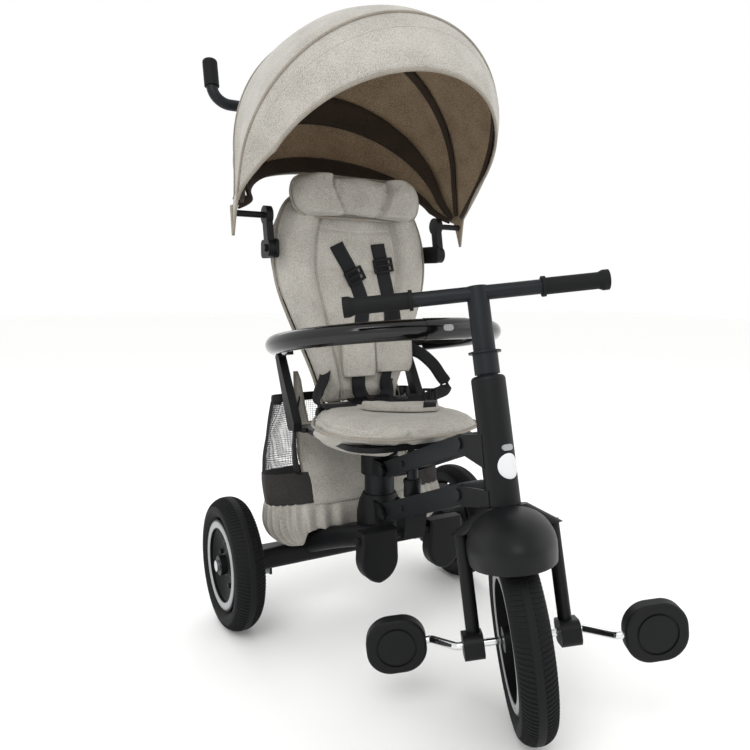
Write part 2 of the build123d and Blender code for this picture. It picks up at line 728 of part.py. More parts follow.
with BuildPart() as seat_pad:
    with BuildSketch(Plane.XY.offset(PAN_Z + PAN_THICKNESS)):
        with BuildLine():
            l1 = Line((-88, PAD_REAR_Y), (88, PAD_REAR_Y))
            l2 = Spline(l1 @ 1, (124, 90), (131, 25), (104, -38), (0, PAD_FRONT_Y), tangents=((1, 0), (-1, 0)))
            mirror(l2, about=Plane.YZ)
        make_face()
    extrude(amount=PAD_TOP_Z - PAN_Z - PAN_THICKNESS)
    fillet(seat_pad.faces().sort_by(Axis.Z)[-1].edges(), 9)
save(seat_pad.part, "seat_pad")

# ---------------------------------------------------------------- backrest

# X across, Y up the backrest, Z out of its front face
BACK = Plane(
    origin=(0, BACK_FOOT[0], BACK_FOOT[1]),
    x_dir=(1, 0, 0),
    z_dir=(0, -cos(radians(BACK_LEAN)), sin(radians(BACK_LEAN))),
)


def back_outline(inset):
    """The backrest's outline: narrow at the hips and wide at the shoulders."""
    side = Spline(
        (72 - inset, -12 + inset),
        (90 - inset, 60),
        (120 - inset, 140),
        (145 - inset, 225),
        (136 - inset, 300),
        (92 - inset, 350 - inset),
    )
    mirror(side, about=Plane.YZ)
    Line(side @ 0, (inset - 72, inset - 12))
    Line(side @ 1, (inset - 92, 350 - inset))


with BuildPart() as backrest_pad:
    with BuildSketch(BACK):
        with BuildLine():
            back_outline(0)
        make_face()
    extrude(amount=-BACK_DEPTH)
save(backrest_pad.part, "backrest_pad")

SHELL_THICKNESS = 7.0
with BuildPart() as backrest_shell:
    with BuildSketch(BACK.offset(-BACK_DEPTH)):
        with BuildLine():
            back_outline(6)
        make_face()
    extrude(amount=-SHELL_THICKNESS)
    for side in (-1, 1):
        with BuildSketch(side_plane(side * LUG_X)):
            with BuildLine():
                Polyline(
                    (RECLINE_PIVOT[0] - 4, RECLINE_PIVOT[1]),
                    (RECLINE_PIVOT[0] + 10, RECLINE_PIVOT[1]),
                    (203, 400),
                    (197, 400),
                    close=True,
                )
            make_face()
            with Locations(RECLINE_PIVOT):
                Circle(9)
        extrude(amount=6, both=True)
        with BuildSketch(side_plane(side * LUG_X)):
            with Locations(RECLINE_PIVOT):
                Circle(4 + RUNNING)
        extrude(amount=8, both=True, mode=Mode.SUBTRACT)
    add(backrest_pad.part, mode=Mode.SUBTRACT)
save(backrest_shell.part, "backrest_shell")

with BuildPart() as headrest:
    with BuildSketch(BACK.offset(0.5)):
        with Locations((0, 338)):
            RectangleRounded(236, 62, 28)
    extrude(amount=38)
    fillet(headrest.faces().sort_by(Axis.Y)[0].edges(), 14)
save(headrest.part, "headrest")

# Webbing that runs down the backrest, with a padded sleeve over each strap
STRAP_X = 38.0
with BuildPart() as shoulder_straps:
    for side in (-1, 1):
        with BuildSketch(BACK.offset(0.3)):
            with Locations((side * STRAP_X, 150)):
                Rectangle(25, 230)
        extrude(amount=2)
with BuildPart() as shoulder_pads:
    for side in (-1, 1):
        with BuildSketch(BACK.offset(2.3)):
            with Locations((side * STRAP_X, 100)):
                RectangleRounded(46, 110, 12)
        extrude(amount=10)
shoulder_harness = Compound(children=[*shoulder_straps.part.solids(), *shoulder_pads.part.solids()])
save(shoulder_harness, "shoulder_harness")

# Buckle on a padded crotch strap, and a waist strap from each side of the seat
with BuildPart() as crotch_pad:
    with BuildSketch(Plane.XY.offset(PAD_TOP_Z)):
        with Locations((0, 58)):
            RectangleRounded(54, 92, 16)
    extrude(amount=10)
with BuildPart() as buckle:
    with BuildSketch(Plane.XY.offset(PAD_TOP_Z + 10)):
        with Locations((0, 84)):
            RectangleRounded(56, 44, 12)
    extrude(amount=13)
    fillet(buckle.faces().sort_by(Axis.Z)[-1].edges(), 4)
save(buckle.part, "buckle")

with BuildPart() as waist_straps:
    for side in (-1, 1):
        with BuildSketch(Plane.XY.offset(PAD_TOP_Z)):
            with Locations((side * 62, 118)):
                Rectangle(64, 25)
        extrude(amount=2.2)
save(Compound(children=[*crotch_pad.part.solids(), *waist_straps.part.solids()]), "seat_harness")

# ---------------------------------------------------------------- bumper ring

# X across, Y backwards and down, Z square to the ring
RING = Plane(
    origin=(0, RING_CENTRE[0], RING_CENTRE[1]),
    x_dir=(1, 0, 0),
    z_dir=(0, sin(radians(RING_TILT)), cos(radians(RING_TILT))),
)
KNUCKLE_RADIUS = 13.0
TONGUE = 12.0
PIVOT_X = RING_RADIUS * cos(radians(RING_END))
PIVOT_BACK = RING_RADIUS * sin(radians(RING_END))
TUBE_END = RING_END - 8.0       # the round tube stops here, short of the knuckle


def ring_half(start, sweep_angle, side):
    """Half of the padded ring: an arc of tube, then a flat tongue to the pivot's knuckle."""
    with BuildPart() as half:
        with BuildLine(RING) as arc:
            CenterArc((0, 0), RING_RADIUS, start, sweep_angle)
        with BuildSketch(Plane(origin=arc.line @ 0, z_dir=arc.line % 0)):
            Circle(RING_TUBE)
        sweep(path=arc.line)
        with BuildSketch(RING.offset(-TONGUE / 2)):
            with BuildLine():
                Line(
                    (side * RING_RADIUS * cos(radians(TUBE_END - 3)), RING_RADIUS * sin(radians(TUBE_END - 3))),
                    (side * PIVOT_X, PIVOT_BACK),
                )
            trace(line_width=20)
            with Locations((side * PIVOT_X, PIVOT_BACK)):
                Circle(KNUCKLE_RADIUS)
        extrude(amount=TONGUE)
        with BuildSketch(RING.offset(-TONGUE)):
            with Locations((side * PIVOT_X, PIVOT_BACK)):
                Circle(4 + RUNNING)
        extrude(amount=2 * TONGUE, mode=Mode.SUBTRACT)
    return half.part


button_face = Plane(origin=RING.from_local_coords(Vector(0, -RING_RADIUS - RING_TUBE + 4, 0)),
                    x_dir=(1, 0, 0), z_dir=RING.y_dir * -1)
with BuildPart() as bumper_button:
    with BuildSketch(button_face):
        SlotOverall(17, 9)
    extrude(amount=5)
save(bumper_button.part, "bumper_button")

with BuildPart() as bumper_gate:
    add(ring_half(RING_SPLIT, TUBE_END - RING_SPLIT, 1))
    with BuildLine(RING) as collar_arc:
        CenterArc((0, 0), RING_RADIUS, RING_SPLIT, 24)
    with BuildSketch(Plane(origin=collar_arc.line @ 0, z_dir=collar_arc.line % 0)):
        Circle(RING_TUBE + 0.8)
    sweep(path=collar_arc.line)
    with BuildSketch(button_face.offset(-2.3)):
        SlotOverall(17 + 2 * GAP, 9 + 2 * GAP)
    extrude(amount=14, mode=Mode.SUBTRACT)
save(bumper_gate.part, "bumper_gate")

SPLIT_GAP = 0.15            # degrees between the halves' ends
save(ring_half(RING_SPLIT - SPLIT_GAP, TUBE_END * -1 - 180 - RING_SPLIT + SPLIT_GAP, -1), "bumper_bar")

# Forked sockets that carry the ring, on struts from the seat pan's rear corners
with BuildPart() as bumper_sockets:
    for side in (-1, 1):
        for way in (-1, 1):
            with BuildSketch(RING.offset(way * (TONGUE / 2 + GAP))):
                with Locations((side * PIVOT_X, PIVOT_BACK)):
                    Circle(KNUCKLE_RADIUS)
                with Locations((side * PIVOT_X, PIVOT_BACK + 12)):
                    Rectangle(14, 20)
            extrude(amount=way * 6)
        with BuildSketch(RING.offset(-12)):
            with Locations((side * PIVOT_X, PIVOT_BACK)):
                Circle(4)
        extrude(amount=24)
        with BuildSketch(side_plane(side * (PIVOT_X - 7))):
            with BuildLine():
                Polyline((219, 474), (232, 474), (232, 448), (176, 330), (150, 330), (150, 345), (216, 448), close=True)
            make_face()
        extrude(amount=side * 14)
    add(seat_pan.part, mode=Mode.SUBTRACT)
save(bumper_sockets.part, "bumper_sockets")

# ---------------------------------------------------------------- canopy

# Each hoop: angle forward of upright, half-width and height above the cross axis
REAR_HOOP = (-52.0, 172.0, 164.0)
BROAD_HOOP = (-33.0, 182.0, 232.0)
NARROW_HOOP = (-5.0, 196.0, 300.0)
FRONT_HOOP = (38.0, 208.0, 325.0)
EYELET = 11.0
HOOP_BAND = 5.0
PIN_END = FRONT_HOOP[1] + 3


def hoop_plane(angle, lift=0.0):
    """A plane through the canopy's cross axis: X across, Y up the hoop."""
    up = Vector(0, -sin(radians(angle)), cos(radians(angle)))
    normal = Vector(1, 0, 0).cross(up)
    origin = Vector(0, HUB_Y, HUB_Z) + normal * lift
    return Plane(origin=origin, x_dir=(1, 0, 0), z_dir=normal)


def arch(half_width, height, foot):
    """Straight legs with an oval top, closed along the foot."""
    spring = height * 0.3
    left_leg = Line((-half_width, foot), (-half_width, spring))
    top = EllipticalCenterArc((0, spring), half_width, height - spring, start_angle=0, arc_size=180)
    right_leg = Line((half_width, spring), (half_width, foot))
    Line(right_leg @ 1, left_leg @ 0)
    return top


def canopy_hoop(angle, half_width, height, band_width):
    """A flat bow whose legs end in eyelets on the canopy's cross axis."""
    with BuildPart() as hoop:
        with BuildSketch(hoop_plane(angle)):
            with BuildLine():
                arch(half_width, height, 0)
            make_face()
            with BuildLine():
                arch(half_width - HOOP_BAND, height - HOOP_BAND, 0)
            make_face(mode=Mode.SUBTRACT)
        extrude(amount=band_width / 2, both=True)
        for side in (-1, 1):
            with BuildSketch(side_plane(side * half_width)):
                with Locations((HUB_Y, HUB_Z)):
                    Circle(EYELET)
            extrude(amount=-side * HOOP_BAND)
        with BuildSketch(side_plane(0)):
            with Locations((HUB_Y, HUB_Z)):
                Circle(5 + RUNNING)
        extrude(amount=half_width + 5, both=True, mode=Mode.SUBTRACT)
    return hoop.part


save(canopy_hoop(*REAR_HOOP, 14), "canopy_rear_hoop")
save(canopy_hoop(*BROAD_HOOP, 20), "canopy_broad_hoop")
save(canopy_hoop(*NARROW_HOOP, 12), "canopy_narrow_hoop")
save(canopy_hoop(*FRONT_HOOP, 14), "canopy_front_hoop")


def canopy_body(shrink, overrun):
    """The volume swept by the hoops, from the rear edge to the visor's edge."""
    sections = [
        (-56.0 - overrun, 187.0, 168.0),
        (-44.0, 192.0, 212.0),
        (-22.0, 201.0, 290.0),
        (8.0, 211.0, 324.0),
        (34.0, 216.0, 341.0),
        (46.0 + overrun, 214.0, 330.0),
    ]
    with BuildPart() as body:
        for angle, half_width, height in sections:
            with BuildSketch(hoop_plane(angle)):
                with BuildLine():
                    arch(half_width - shrink, height - shrink, EYELET + 9 - shrink / 2)
                make_face()
        loft()
    return body.part


with BuildPart() as canopy_cover:
    add(canopy_body(0, 0))
    add(canopy_body(COVER_WALL, 3), mode=Mode.SUBTRACT)
save(canopy_cover.part, "canopy_cover")

# Cranked arms: a lower pivot on the backrest's brackets and the canopy's cross axis above
BRACKET_X = 149.0
with BuildPart() as canopy_brackets:
    for side in (-1, 1):
        with BuildSketch(side_plane(side * BRACKET_X)):
            with Locations((ARM_Y + 22, ARM_Z)):
                RectangleRounded(72, 30, 8)
        extrude(amount=side * 5)
        with BuildSketch(side_plane(side * (BRACKET_X + 5))):
            with Locations((ARM_Y, ARM_Z)):
                Circle(6)
        extrude(amount=side * 16)
        with BuildSketch(side_plane(side * BRACKET_X)):
            with Locations((ARM_Y + 56, ARM_Z)):
                Rectangle(6, 26)
        extrude(amount=-side * 40)
    add(backrest_shell.part, mode=Mode.SUBTRACT)
    add(backrest_pad.part, mode=Mode.SUBTRACT)
save(canopy_brackets.part, "canopy_brackets")

with BuildPart() as canopy_arms:
    for side in (-1, 1):
        with BuildSketch(side_plane(side * (BRACKET_X + 5 + GAP))):
            with BuildLine():
                Line((ARM_Y, ARM_Z), (HUB_Y, HUB_Z))
            trace(line_width=18)
            with Locations((ARM_Y, ARM_Z)):
                Circle(14)
            with Locations((HUB_Y, HUB_Z)):
                Circle(15)
        extrude(amount=side * 11)
        with BuildSketch(side_plane(side * (BRACKET_X + 5 + GAP))):
            with Locations((ARM_Y, ARM_Z)):
                Circle(6 + RUNNING)
        extrude(amount=side * 18, mode=Mode.SUBTRACT)
        with BuildSketch(side_plane(side * (BRACKET_X + 5 + GAP))):
            with Locations((HUB_Y, HUB_Z)):
                Circle(5)
        extrude(amount=side * (PIN_END - BRACKET_X - 5))
save(canopy_arms.part, "canopy_arms")

# ---------------------------------------------------------------- push handle

POLE = Plane(
    origin=(0, POLE_FOOT[0], POLE_FOOT[1]),
    x_dir=(1, 0, 0),
    z_dir=(0, sin(radians(POLE_LEAN)), cos(radians(POLE_LEAN))),
)
POLE_RADIUS = 11.0
SLEEVE_RADIUS = 13.0
LOWER_POLE = 330.0
with BuildPart() as pole_socket:
    with BuildSketch(POLE.offset(-52)):
        RectangleRounded(44, 40, 10)
    extrude(amount=110)
    with BuildSketch(POLE.offset(-30)):
        Circle(SLEEVE_RADIUS)
    extrude(amount=120, mode=Mode.SUBTRACT)
    add(axle_housing.part, mode=Mode.SUBTRACT)
save(pole_socket.part, "pole_socket")

with BuildPart() as lower_pole:
    with BuildSketch(POLE.offset(-30)):
        Circle(SLEEVE_RADIUS)
        Circle(POLE_RADIUS + RUNNING, mode=Mode.SUBTRACT)
    extrude(amount=LOWER_POLE + 30)
    with BuildSketch(POLE.offset(LOWER_POLE - 34)):
        RectangleRounded(38, 36, 12)
        Circle(SLEEVE_RADIUS - 1, mode=Mode.SUBTRACT)
    extrude(amount=34)
save(lower_pole.part, "lower_pole")

with BuildPart() as upper_pole:
    with BuildSketch(POLE.offset(140)):
        Circle(POLE_RADIUS)
    extrude(amount=POLE_LENGTH - 140 - 10)
save(upper_pole.part, "upper_pole")

# Bar across the top of the pole, its ends curled up
BEND = 30.0
handle_path = [
    POLE.from_local_coords(Vector(-HANDLE_HALF, 0, POLE_LENGTH + 74)),
    POLE.from_local_coords(Vector(-HANDLE_HALF, 0, POLE_LENGTH)),
    POLE.from_local_coords(Vector(HANDLE_HALF, 0, POLE_LENGTH)),
    POLE.from_local_coords(Vector(HANDLE_HALF, 0, POLE_LENGTH + 74)),
]
push_handle = bent_bar(handle_path, 10, BEND)
save(push_handle, "push_handle")


def handle_grip(side):
    """Foam sleeve with a domed end over the handle's curled end."""
    with BuildPart() as foam:
        with BuildSketch(POLE.offset(POLE_LENGTH + BEND)):
            with Locations((side * HANDLE_HALF, 0)):
                Circle(13)
        extrude(amount=50)
        fillet(foam.edges().sort_by(Axis.Z)[-1], 6)
        add(push_handle, mode=Mode.SUBTRACT)
    return foam.part


save(Compound(children=[handle_grip(-1), handle_grip(1)]), "handle_grips")

# ---------------------------------------------------------------- storage bag

# Open-topped bag behind the seat: sections are height, front Y, rear Y and half-width
BAG_SECTIONS = [(134.0, 142.0, 214.0, 140.0), (230.0, 150.0, 228.0, 165.0), (330.0, 194.0, 244.0, 150.0),
                (392.0, 224.0, 258.0, 118.0)]
BAG_WALL = 3.0


def bag_body(shrink, lift):
    with BuildPart() as body:
        for height, front, rear, half in BAG_SECTIONS:
            level = height + (lift if height == BAG_SECTIONS[0][0] else 0)
            level += 2 if lift and height == BAG_SECTIONS[-1][0] else 0
            with BuildSketch(Plane.XY.offset(level)):
                with Locations((0, (front + rear) / 2)):
                    RectangleRounded(2 * (half - shrink), rear - front - 2 * shrink, 15 - shrink)
        loft()
    return body.part


with BuildPart() as storage_bag:
    add(bag_body(0, 0))
    add(bag_body(BAG_WALL, BAG_WALL), mode=Mode.SUBTRACT)
    add(axle_housing.part, mode=Mode.SUBTRACT)
    add(pole_socket.part, mode=Mode.SUBTRACT)
    add(lower_pole.part, mode=Mode.SUBTRACT)
save(storage_bag.part, "storage_bag")
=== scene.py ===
from math import cos, exp, pi, radians, sin, sqrt

import bmesh
import bpy
from mathutils import Matrix, Vector, noise
from mathutils.bvhtree import BVHTree


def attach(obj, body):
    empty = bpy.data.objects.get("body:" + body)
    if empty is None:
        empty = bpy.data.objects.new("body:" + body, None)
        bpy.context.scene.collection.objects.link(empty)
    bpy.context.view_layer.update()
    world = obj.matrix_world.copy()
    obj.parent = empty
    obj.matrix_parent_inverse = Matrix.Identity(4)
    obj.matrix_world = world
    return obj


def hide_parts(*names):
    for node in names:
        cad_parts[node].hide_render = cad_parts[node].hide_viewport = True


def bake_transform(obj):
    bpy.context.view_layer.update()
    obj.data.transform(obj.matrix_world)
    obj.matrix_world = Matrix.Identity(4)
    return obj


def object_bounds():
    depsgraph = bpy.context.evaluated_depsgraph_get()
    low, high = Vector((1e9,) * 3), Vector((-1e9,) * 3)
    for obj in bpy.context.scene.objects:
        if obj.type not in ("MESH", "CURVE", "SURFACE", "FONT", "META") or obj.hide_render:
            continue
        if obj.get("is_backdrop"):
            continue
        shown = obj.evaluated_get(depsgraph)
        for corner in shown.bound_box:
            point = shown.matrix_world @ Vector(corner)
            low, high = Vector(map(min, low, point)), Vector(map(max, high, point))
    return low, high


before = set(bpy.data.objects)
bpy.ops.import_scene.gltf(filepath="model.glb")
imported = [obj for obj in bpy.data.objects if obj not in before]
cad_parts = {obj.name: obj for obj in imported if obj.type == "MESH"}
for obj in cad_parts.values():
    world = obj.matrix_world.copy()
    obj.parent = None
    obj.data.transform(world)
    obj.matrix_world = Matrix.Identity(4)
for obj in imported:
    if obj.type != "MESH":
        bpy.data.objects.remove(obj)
cad_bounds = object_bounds()
scene = bpy.context.scene
scene.view_settings.view_transform = "Standard"
render_levels = 1

# ---------------------------------------------------------------- setting and camera
# A pale seamless floor under a large soft key light and two fills, as in a small product studio.
# The camera stands low in front of the child's right side, on a slightly wide lens.


def linear(hex_colour):
    """An sRGB hex colour as the linear RGBA that shader sockets take."""
    channels = [int(hex_colour[i:i + 2], 16) / 255 for i in (1, 3, 5)]
    return [c / 12.92 if c <= 0.04045 else ((c + 0.055) / 1.055) ** 2.4 for c in channels] + [1.0]


def node(tree, kind, settings=None, **inputs):
    """Adds a node; an input given as a socket is linked, anything else is its value."""
    made = tree.nodes.new(kind)
    for key, value in (settings or {}).items():
        setattr(made, key, value)
    for key, value in inputs.items():
        socket = made.inputs[int(key[1:])] if key[0] == "i" and key[1:].isdigit() else made.inputs[key.replace("_",
                                                                                                               " ")]
        if isinstance(value, bpy.types.NodeSocket):
            tree.links.new(value, socket)
        else:
            socket.default_value = value
    return made


def new_material(name):
    """An empty node material, its tree and its shader."""
    material = bpy.data.materials.new(name)
    material.use_nodes = True
    tree = material.node_tree
    return material, tree, tree.nodes["Principled BSDF"]


# Matt painted floor: pale, with no pattern of its own
floor_paint, tree, shader = new_material("matt_white_floor_paint")
shader.inputs["Base Color"].default_value = linear("#fdfdfc")
shader.inputs["Roughness"].default_value = 0.75
floor_mesh = bpy.data.meshes.new("floor")
FLOOR_HALF = 12.0
floor_mesh.from_pydata(
    [(-FLOOR_HALF, -FLOOR_HALF, 0), (FLOOR_HALF, -FLOOR_HALF, 0), (FLOOR_HALF, FLOOR_HALF, 0),
     (-FLOOR_HALF, FLOOR_HALF, 0)],
    [], [(0, 1, 2, 3)])
floor = bpy.data.objects.new("floor", floor_mesh)
floor.data.materials.append(floor_paint)
scene.collection.objects.link(floor)
floor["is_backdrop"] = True

world = bpy.data.worlds.new("studio")
world.use_nodes = True
world.node_tree.nodes["Background"].inputs["Color"].default_value = linear("#ffffff")
world.node_tree.nodes["Background"].inputs["Strength"].default_value = 1.0
scene.world = world
for name, place, aim, size, power in (
    ("key", (-1.6, -1.5, 2.4), (0, 0, 0.45), 1.6, 30),
    ("fill", (2.2, -1.4, 1.5), (0, 0, 0.5), 2.2, 10),
    ("back", (0.4, 2.4, 2.2), (0, 0, 0.5), 2.0, 16),
):
    light = bpy.data.lights.new(name, "AREA")
    light.size = size
    light.energy = power
    lamp = bpy.data.objects.new(name, light)
    lamp.location = place
    lamp.rotation_euler = (Vector(aim) - Vector(place)).to_track_quat("-Z", "Y").to_euler()
    scene.collection.objects.link(lamp)

camera = bpy.data.objects.new("camera", bpy.data.cameras.new("camera"))
camera.data.sensor_width = 36.0
camera.data.lens = 35.0
camera.data.shift_x = -0.1
forward = Vector((0.5512, 0.8254, -0.1221)).normalized()
level = Vector((forward.y, -forward.x, 0)).normalized()
right = Matrix.Rotation(radians(-0.9), 3, forward) @ level
up = right.cross(forward)
camera.matrix_world = Matrix.Translation((-0.5722, -0.9705, 0.5735)) @ Matrix((right, up,
                                                                               -forward)).transposed().to_4x4()
scene.collection.objects.link(camera)
scene.camera = camera

# ---------------------------------------------------------------- hard parts kept from the CAD frame
# Injection moulded polypropylene and nylon, powder coated steel tube and bright plated bar. Each is
# given the finish of its own process; the shapes are the frame's own.


def grain(tree, shader, size_mm, depth_mm):
    """Fine random surface relief of a given grain size, as spark-eroded moulds leave it."""
    place = node(tree, "ShaderNodeTexCoord").outputs["Object"]
    pits = node(tree, "ShaderNodeTexNoise", None, Vector=place, Scale=1000 / size_mm, Detail=2.0)
    relief = node(tree, "ShaderNodeBump", None, Height=pits.outputs["Fac"], Strength=1.0, Distance=depth_mm / 1000)
    tree.links.new(relief.outputs["Normal"], shader.inputs["Normal"])
    return place


def even(name, colour, roughness, grain_mm, depth_mm, metallic=0.0, shine=0.5):
    """A finish of one even colour, with a fine grain."""
    material, tree, shader = new_material(name)
    for key, value in (("Base Color", linear(colour)), ("Metallic", metallic), ("Roughness", roughness),
                       ("Specular IOR Level", shine)):
        shader.inputs[key].default_value = value
    grain(tree, shader, grain_mm, depth_mm)
    return material


def moulded(name, dark, light, roughness, grain_mm, depth_mm, shine=0.2):
    """Plastic whose roughness and tone drift a little over 30 mm, from handling and flow."""
    material, tree, shader = new_material(name)
    place = grain(tree, shader, grain_mm, depth_mm)
    drift = node(tree, "ShaderNodeTexNoise", None, Vector=place, Scale=33.0, Detail=3.0)
    tone = node(tree, "ShaderNodeMix", {"data_type": "RGBA"}, i0=drift.outputs["Fac"], i6=linear(dark),
                i7=linear(light))
    tree.links.new(tone.outputs[2], shader.inputs["Base Color"])
    spread = node(tree, "ShaderNodeMapRange", None, Value=drift.outputs["Fac"], To_Min=roughness - 0.06,
                  To_Max=roughness + 0.08)
    tree.links.new(spread.outputs["Result"], shader.inputs["Roughness"])
    shader.inputs["IOR"].default_value = 1.49
    shader.inputs["Specular IOR Level"].default_value = shine
    return material


# Black polypropylene from a fine-grained mould: satin, with soft broad highlights
black_plastic = moulded("moulded_black_polypropylene", "#0b0c0d", "#131416", 0.44, 0.9, 0.03)
# The same resin filled with glass for the pedals and footrests: rougher and greyer
tread_plastic = moulded("moulded_black_nylon", "#0a0b0c", "#121315", 0.52, 1.2, 0.06)
# Soft rubber and foam of the grips: black, dry to the touch
grip_rubber = moulded("moulded_black_grip_rubber", "#0d0e0f", "#151617", 0.66, 1.4, 0.08)
# Mid-grey polypropylene of the release buttons and brake pedals
grey_plastic = moulded("moulded_grey_polypropylene", "#8d8f91", "#a5a7a8", 0.45, 0.9, 0.04, shine=0.4)
# Dark slate powder coat on steel tube: even, with the slight orange peel of baked powder
powder_coat = moulded("slate_powder_coat", "#14171a", "#1c2023", 0.40, 2.2, 0.04)
# Wipe-clean polyurethane skin over foam: near-black, smooth enough to mirror the room softly
gloss_skin = moulded("glossy_black_polyurethane_skin", "#050506", "#0a0a0b", 0.14, 5.0, 0.02, shine=0.5)

# Bright chromium over polished steel: mirror-like, faintly waved by the bending
chrome = even("bright_chrome_plate", "#dcdddf", 0.09, 14.0, 0.08, metallic=1.0)
# Zinc plate on the rear axle and its nuts: pale, semi-matt
zinc = even("zinc_plate", "#c2c4c6", 0.32, 1.5, 0.03, metallic=1.0)

HARD = {
    black_plastic: "axle_housing pedestal post_collar seat_pan bumper_sockets head_casing head_shoulder hub_covers "
                   "fork pole_socket backrest_shell canopy_brackets canopy_arms front_rim left_rear_rim "
                   "right_rear_rim strut_sleeve buckle",
    tread_plastic: "left_pedal right_pedal left_footrest right_footrest footrest_shaft",
    grip_rubber: "handlebar_grips handle_grips",
    grey_plastic: "left_brake_pedal right_brake_pedal head_button bumper_button",
    powder_coat: "lower_beam upper_beam fold_strut seat_post handlebar stem lower_pole upper_pole push_handle "
                 "clip_collar rear_pivot_pins front_pivot_pins",
    gloss_skin: "bumper_bar bumper_gate",
    chrome: "crank",
    zinc: "rear_axle",
}
for finish, names in HARD.items():
    for name in names.split():
        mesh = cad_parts[name].data
        mesh.materials.clear()
        mesh.materials.append(finish)

# ---------------------------------------------------------------- wheels
# Three foam-filled tyres moulded in one piece: a smooth strip round the middle, slanted lugs on each
# shoulder and fine ribs on the walls. Each sits on a dished rim with a pale ring pressed into its face.

# Foam rubber: matt, slightly dusty black that catches light only along its edges
tyre_foam = even("moulded_tyre_foam", "#111213", 0.72, 1.0, 0.12, shine=0.2)
# Silver lacquer on the pressed ring: satin metallic
ring_lacquer = even("silver_lacquered_ring", "#a3a4a6", 0.38, 1.2, 0.02, metallic=0.75)


def shown(name, mesh):
    """A mesh put in the scene as an object."""
    made = bpy.data.objects.new(name, mesh)
    scene.collection.objects.link(made)
    return made


def evaluated(shape):
    """A plain mesh of a shape with its modifiers applied."""
    bpy.context.view_layer.update()
    return bpy.data.meshes.new_from_object(shape.evaluated_get(bpy.context.evaluated_depsgraph_get()))


def grid(rows, columns, ring=False, loop=False):
    """Quads over rows of points; ring joins the ends of each row, loop the last row to the first."""
    return [(k * columns + j, k * columns + (j + 1) % columns,
             (k + 1) % rows * columns + (j + 1) % columns, (k + 1) % rows * columns + j)
            for k in range(rows if loop else rows - 1) for j in range(columns if ring else columns - 1)]


def thickened(shape, mm, offset=-1):
    """Gives a sheet its thickness, inwards from its face, or to both sides with an offset of 0."""
    wall = shape.modifiers.new("wall", "SOLIDIFY")
    wall.thickness = mm / 1000
    wall.offset = offset
    return wall


def piece(name, verts, faces, material, smooth=True):
    """A mesh object from points and faces, welded, with its normals turned outwards."""
    mesh = bpy.data.meshes.new(name)
    mesh.from_pydata([tuple(v) for v in verts], [], faces)
    work = bmesh.new()
    work.from_mesh(mesh)
    bmesh.ops.remove_doubles(work, verts=work.verts, dist=1e-6)
    bmesh.ops.dissolve_degenerate(work, edges=work.edges, dist=1e-7)
    bmesh.ops.recalc_face_normals(work, faces=work.faces)
    for face in work.faces:
        face.smooth = smooth
    work.to_mesh(mesh)
    work.free()
    mesh.materials.append(material)
    return shown(name, mesh)


def turned(name, profile, centre, axis, material, steps=128, closed=True):
    """A surface turned about an axis from (radius, along) points in mm; closed joins the last to the first."""
    axis = Vector(axis).normalized()
    side = axis.orthogonal().normalized()
    across = axis.cross(side)
    verts = []
    for k in range(steps):
        spoke = side * cos(2 * pi * k / steps) + across * sin(2 * pi * k / steps)
        verts += [Vector(centre) + (spoke * radius + axis * along) / 1000 for radius, along in profile]
    count = len(profile)
    rows = count if closed else count - 1
    faces = [(k * count + j, (k + 1) % steps * count + j, (k + 1) % steps * count + (j + 1) % count,
              k * count + (j + 1) % count)
             for k in range(steps) for j in range(rows)]
    return piece(name, verts, faces, material)


def bend_normals(shape, degrees=35):
    """Keeps edges sharper than this crisp while the rest is shaded smooth."""
    shape.data.set_sharp_from_angle(angle=radians(degrees))


RAKE = radians(14.1)
PARKED = radians(-29.2)
FRONT_HUB = Vector((0, -0.286, 0.127))
STEER_AXIS = Vector((0, sin(RAKE), cos(RAKE)))
AXLE = Matrix.Rotation(PARKED, 3, STEER_AXIS) @ Vector((1, 0, 0))
BACKWARD = STEER_AXIS.cross(AXLE)


def on_fork(across, back, up):
    """A point on the turned fork, in mm across, behind and up the steering axis from the front hub."""
    return FRONT_HUB + (AXLE * across + BACKWARD * back + STEER_AXIS * up) / 1000


def lug_ring(lug, count, material):
    """Repeats one lug round the Z axis with Geometry Nodes and returns the plain mesh."""
    tree = bpy.data.node_groups.new("tread_lugs", "GeometryNodeTree")
    tree.interface.new_socket("Lug", in_out="INPUT", socket_type="NodeSocketGeometry")
    count_input = tree.interface.new_socket("Count", in_out="INPUT", socket_type="NodeSocketInt")
    tree.interface.new_socket("Ring", in_out="OUTPUT", socket_type="NodeSocketGeometry")
    start = node(tree, "NodeGroupInput")
    points = node(tree, "GeometryNodePoints", None, Count=start.outputs["Count"])
    index = node(tree, "GeometryNodeInputIndex")
    share = node(tree, "ShaderNodeMath", {"operation": "DIVIDE"}, i0=index.outputs["Index"], i1=start.outputs["Count"])
    angle = node(tree, "ShaderNodeMath", {"operation": "MULTIPLY"}, i0=share.outputs["Value"], i1=2 * pi)
    turn = node(tree, "ShaderNodeCombineXYZ", None, Z=angle.outputs["Value"])
    copies = node(tree, "GeometryNodeInstanceOnPoints", None, Points=points.outputs[0], Instance=start.outputs["Lug"],
                  Rotation=turn.outputs["Vector"])
    real = node(tree, "GeometryNodeRealizeInstances", None, Geometry=copies.outputs["Instances"])
    coat = node(tree, "GeometryNodeSetMaterial", None, Geometry=real.outputs["Geometry"], Material=material)
    finish = node(tree, "NodeGroupOutput")
    tree.links.new(coat.outputs["Geometry"], finish.inputs[0])
    modifier = lug.modifiers.new("tread", "NODES")
    modifier.node_group = tree
    modifier[count_input.identifier] = count
    baked = evaluated(lug)
    lug.modifiers.clear()
    bpy.data.node_groups.remove(tree)
    return baked


LUG_PITCH = 6.4         # mm round the tread from one lug to the next
LUG_RISE = 1.5          # mm above the carcass
STRIP_HALF = 4.5        # mm, half of the smooth middle strip


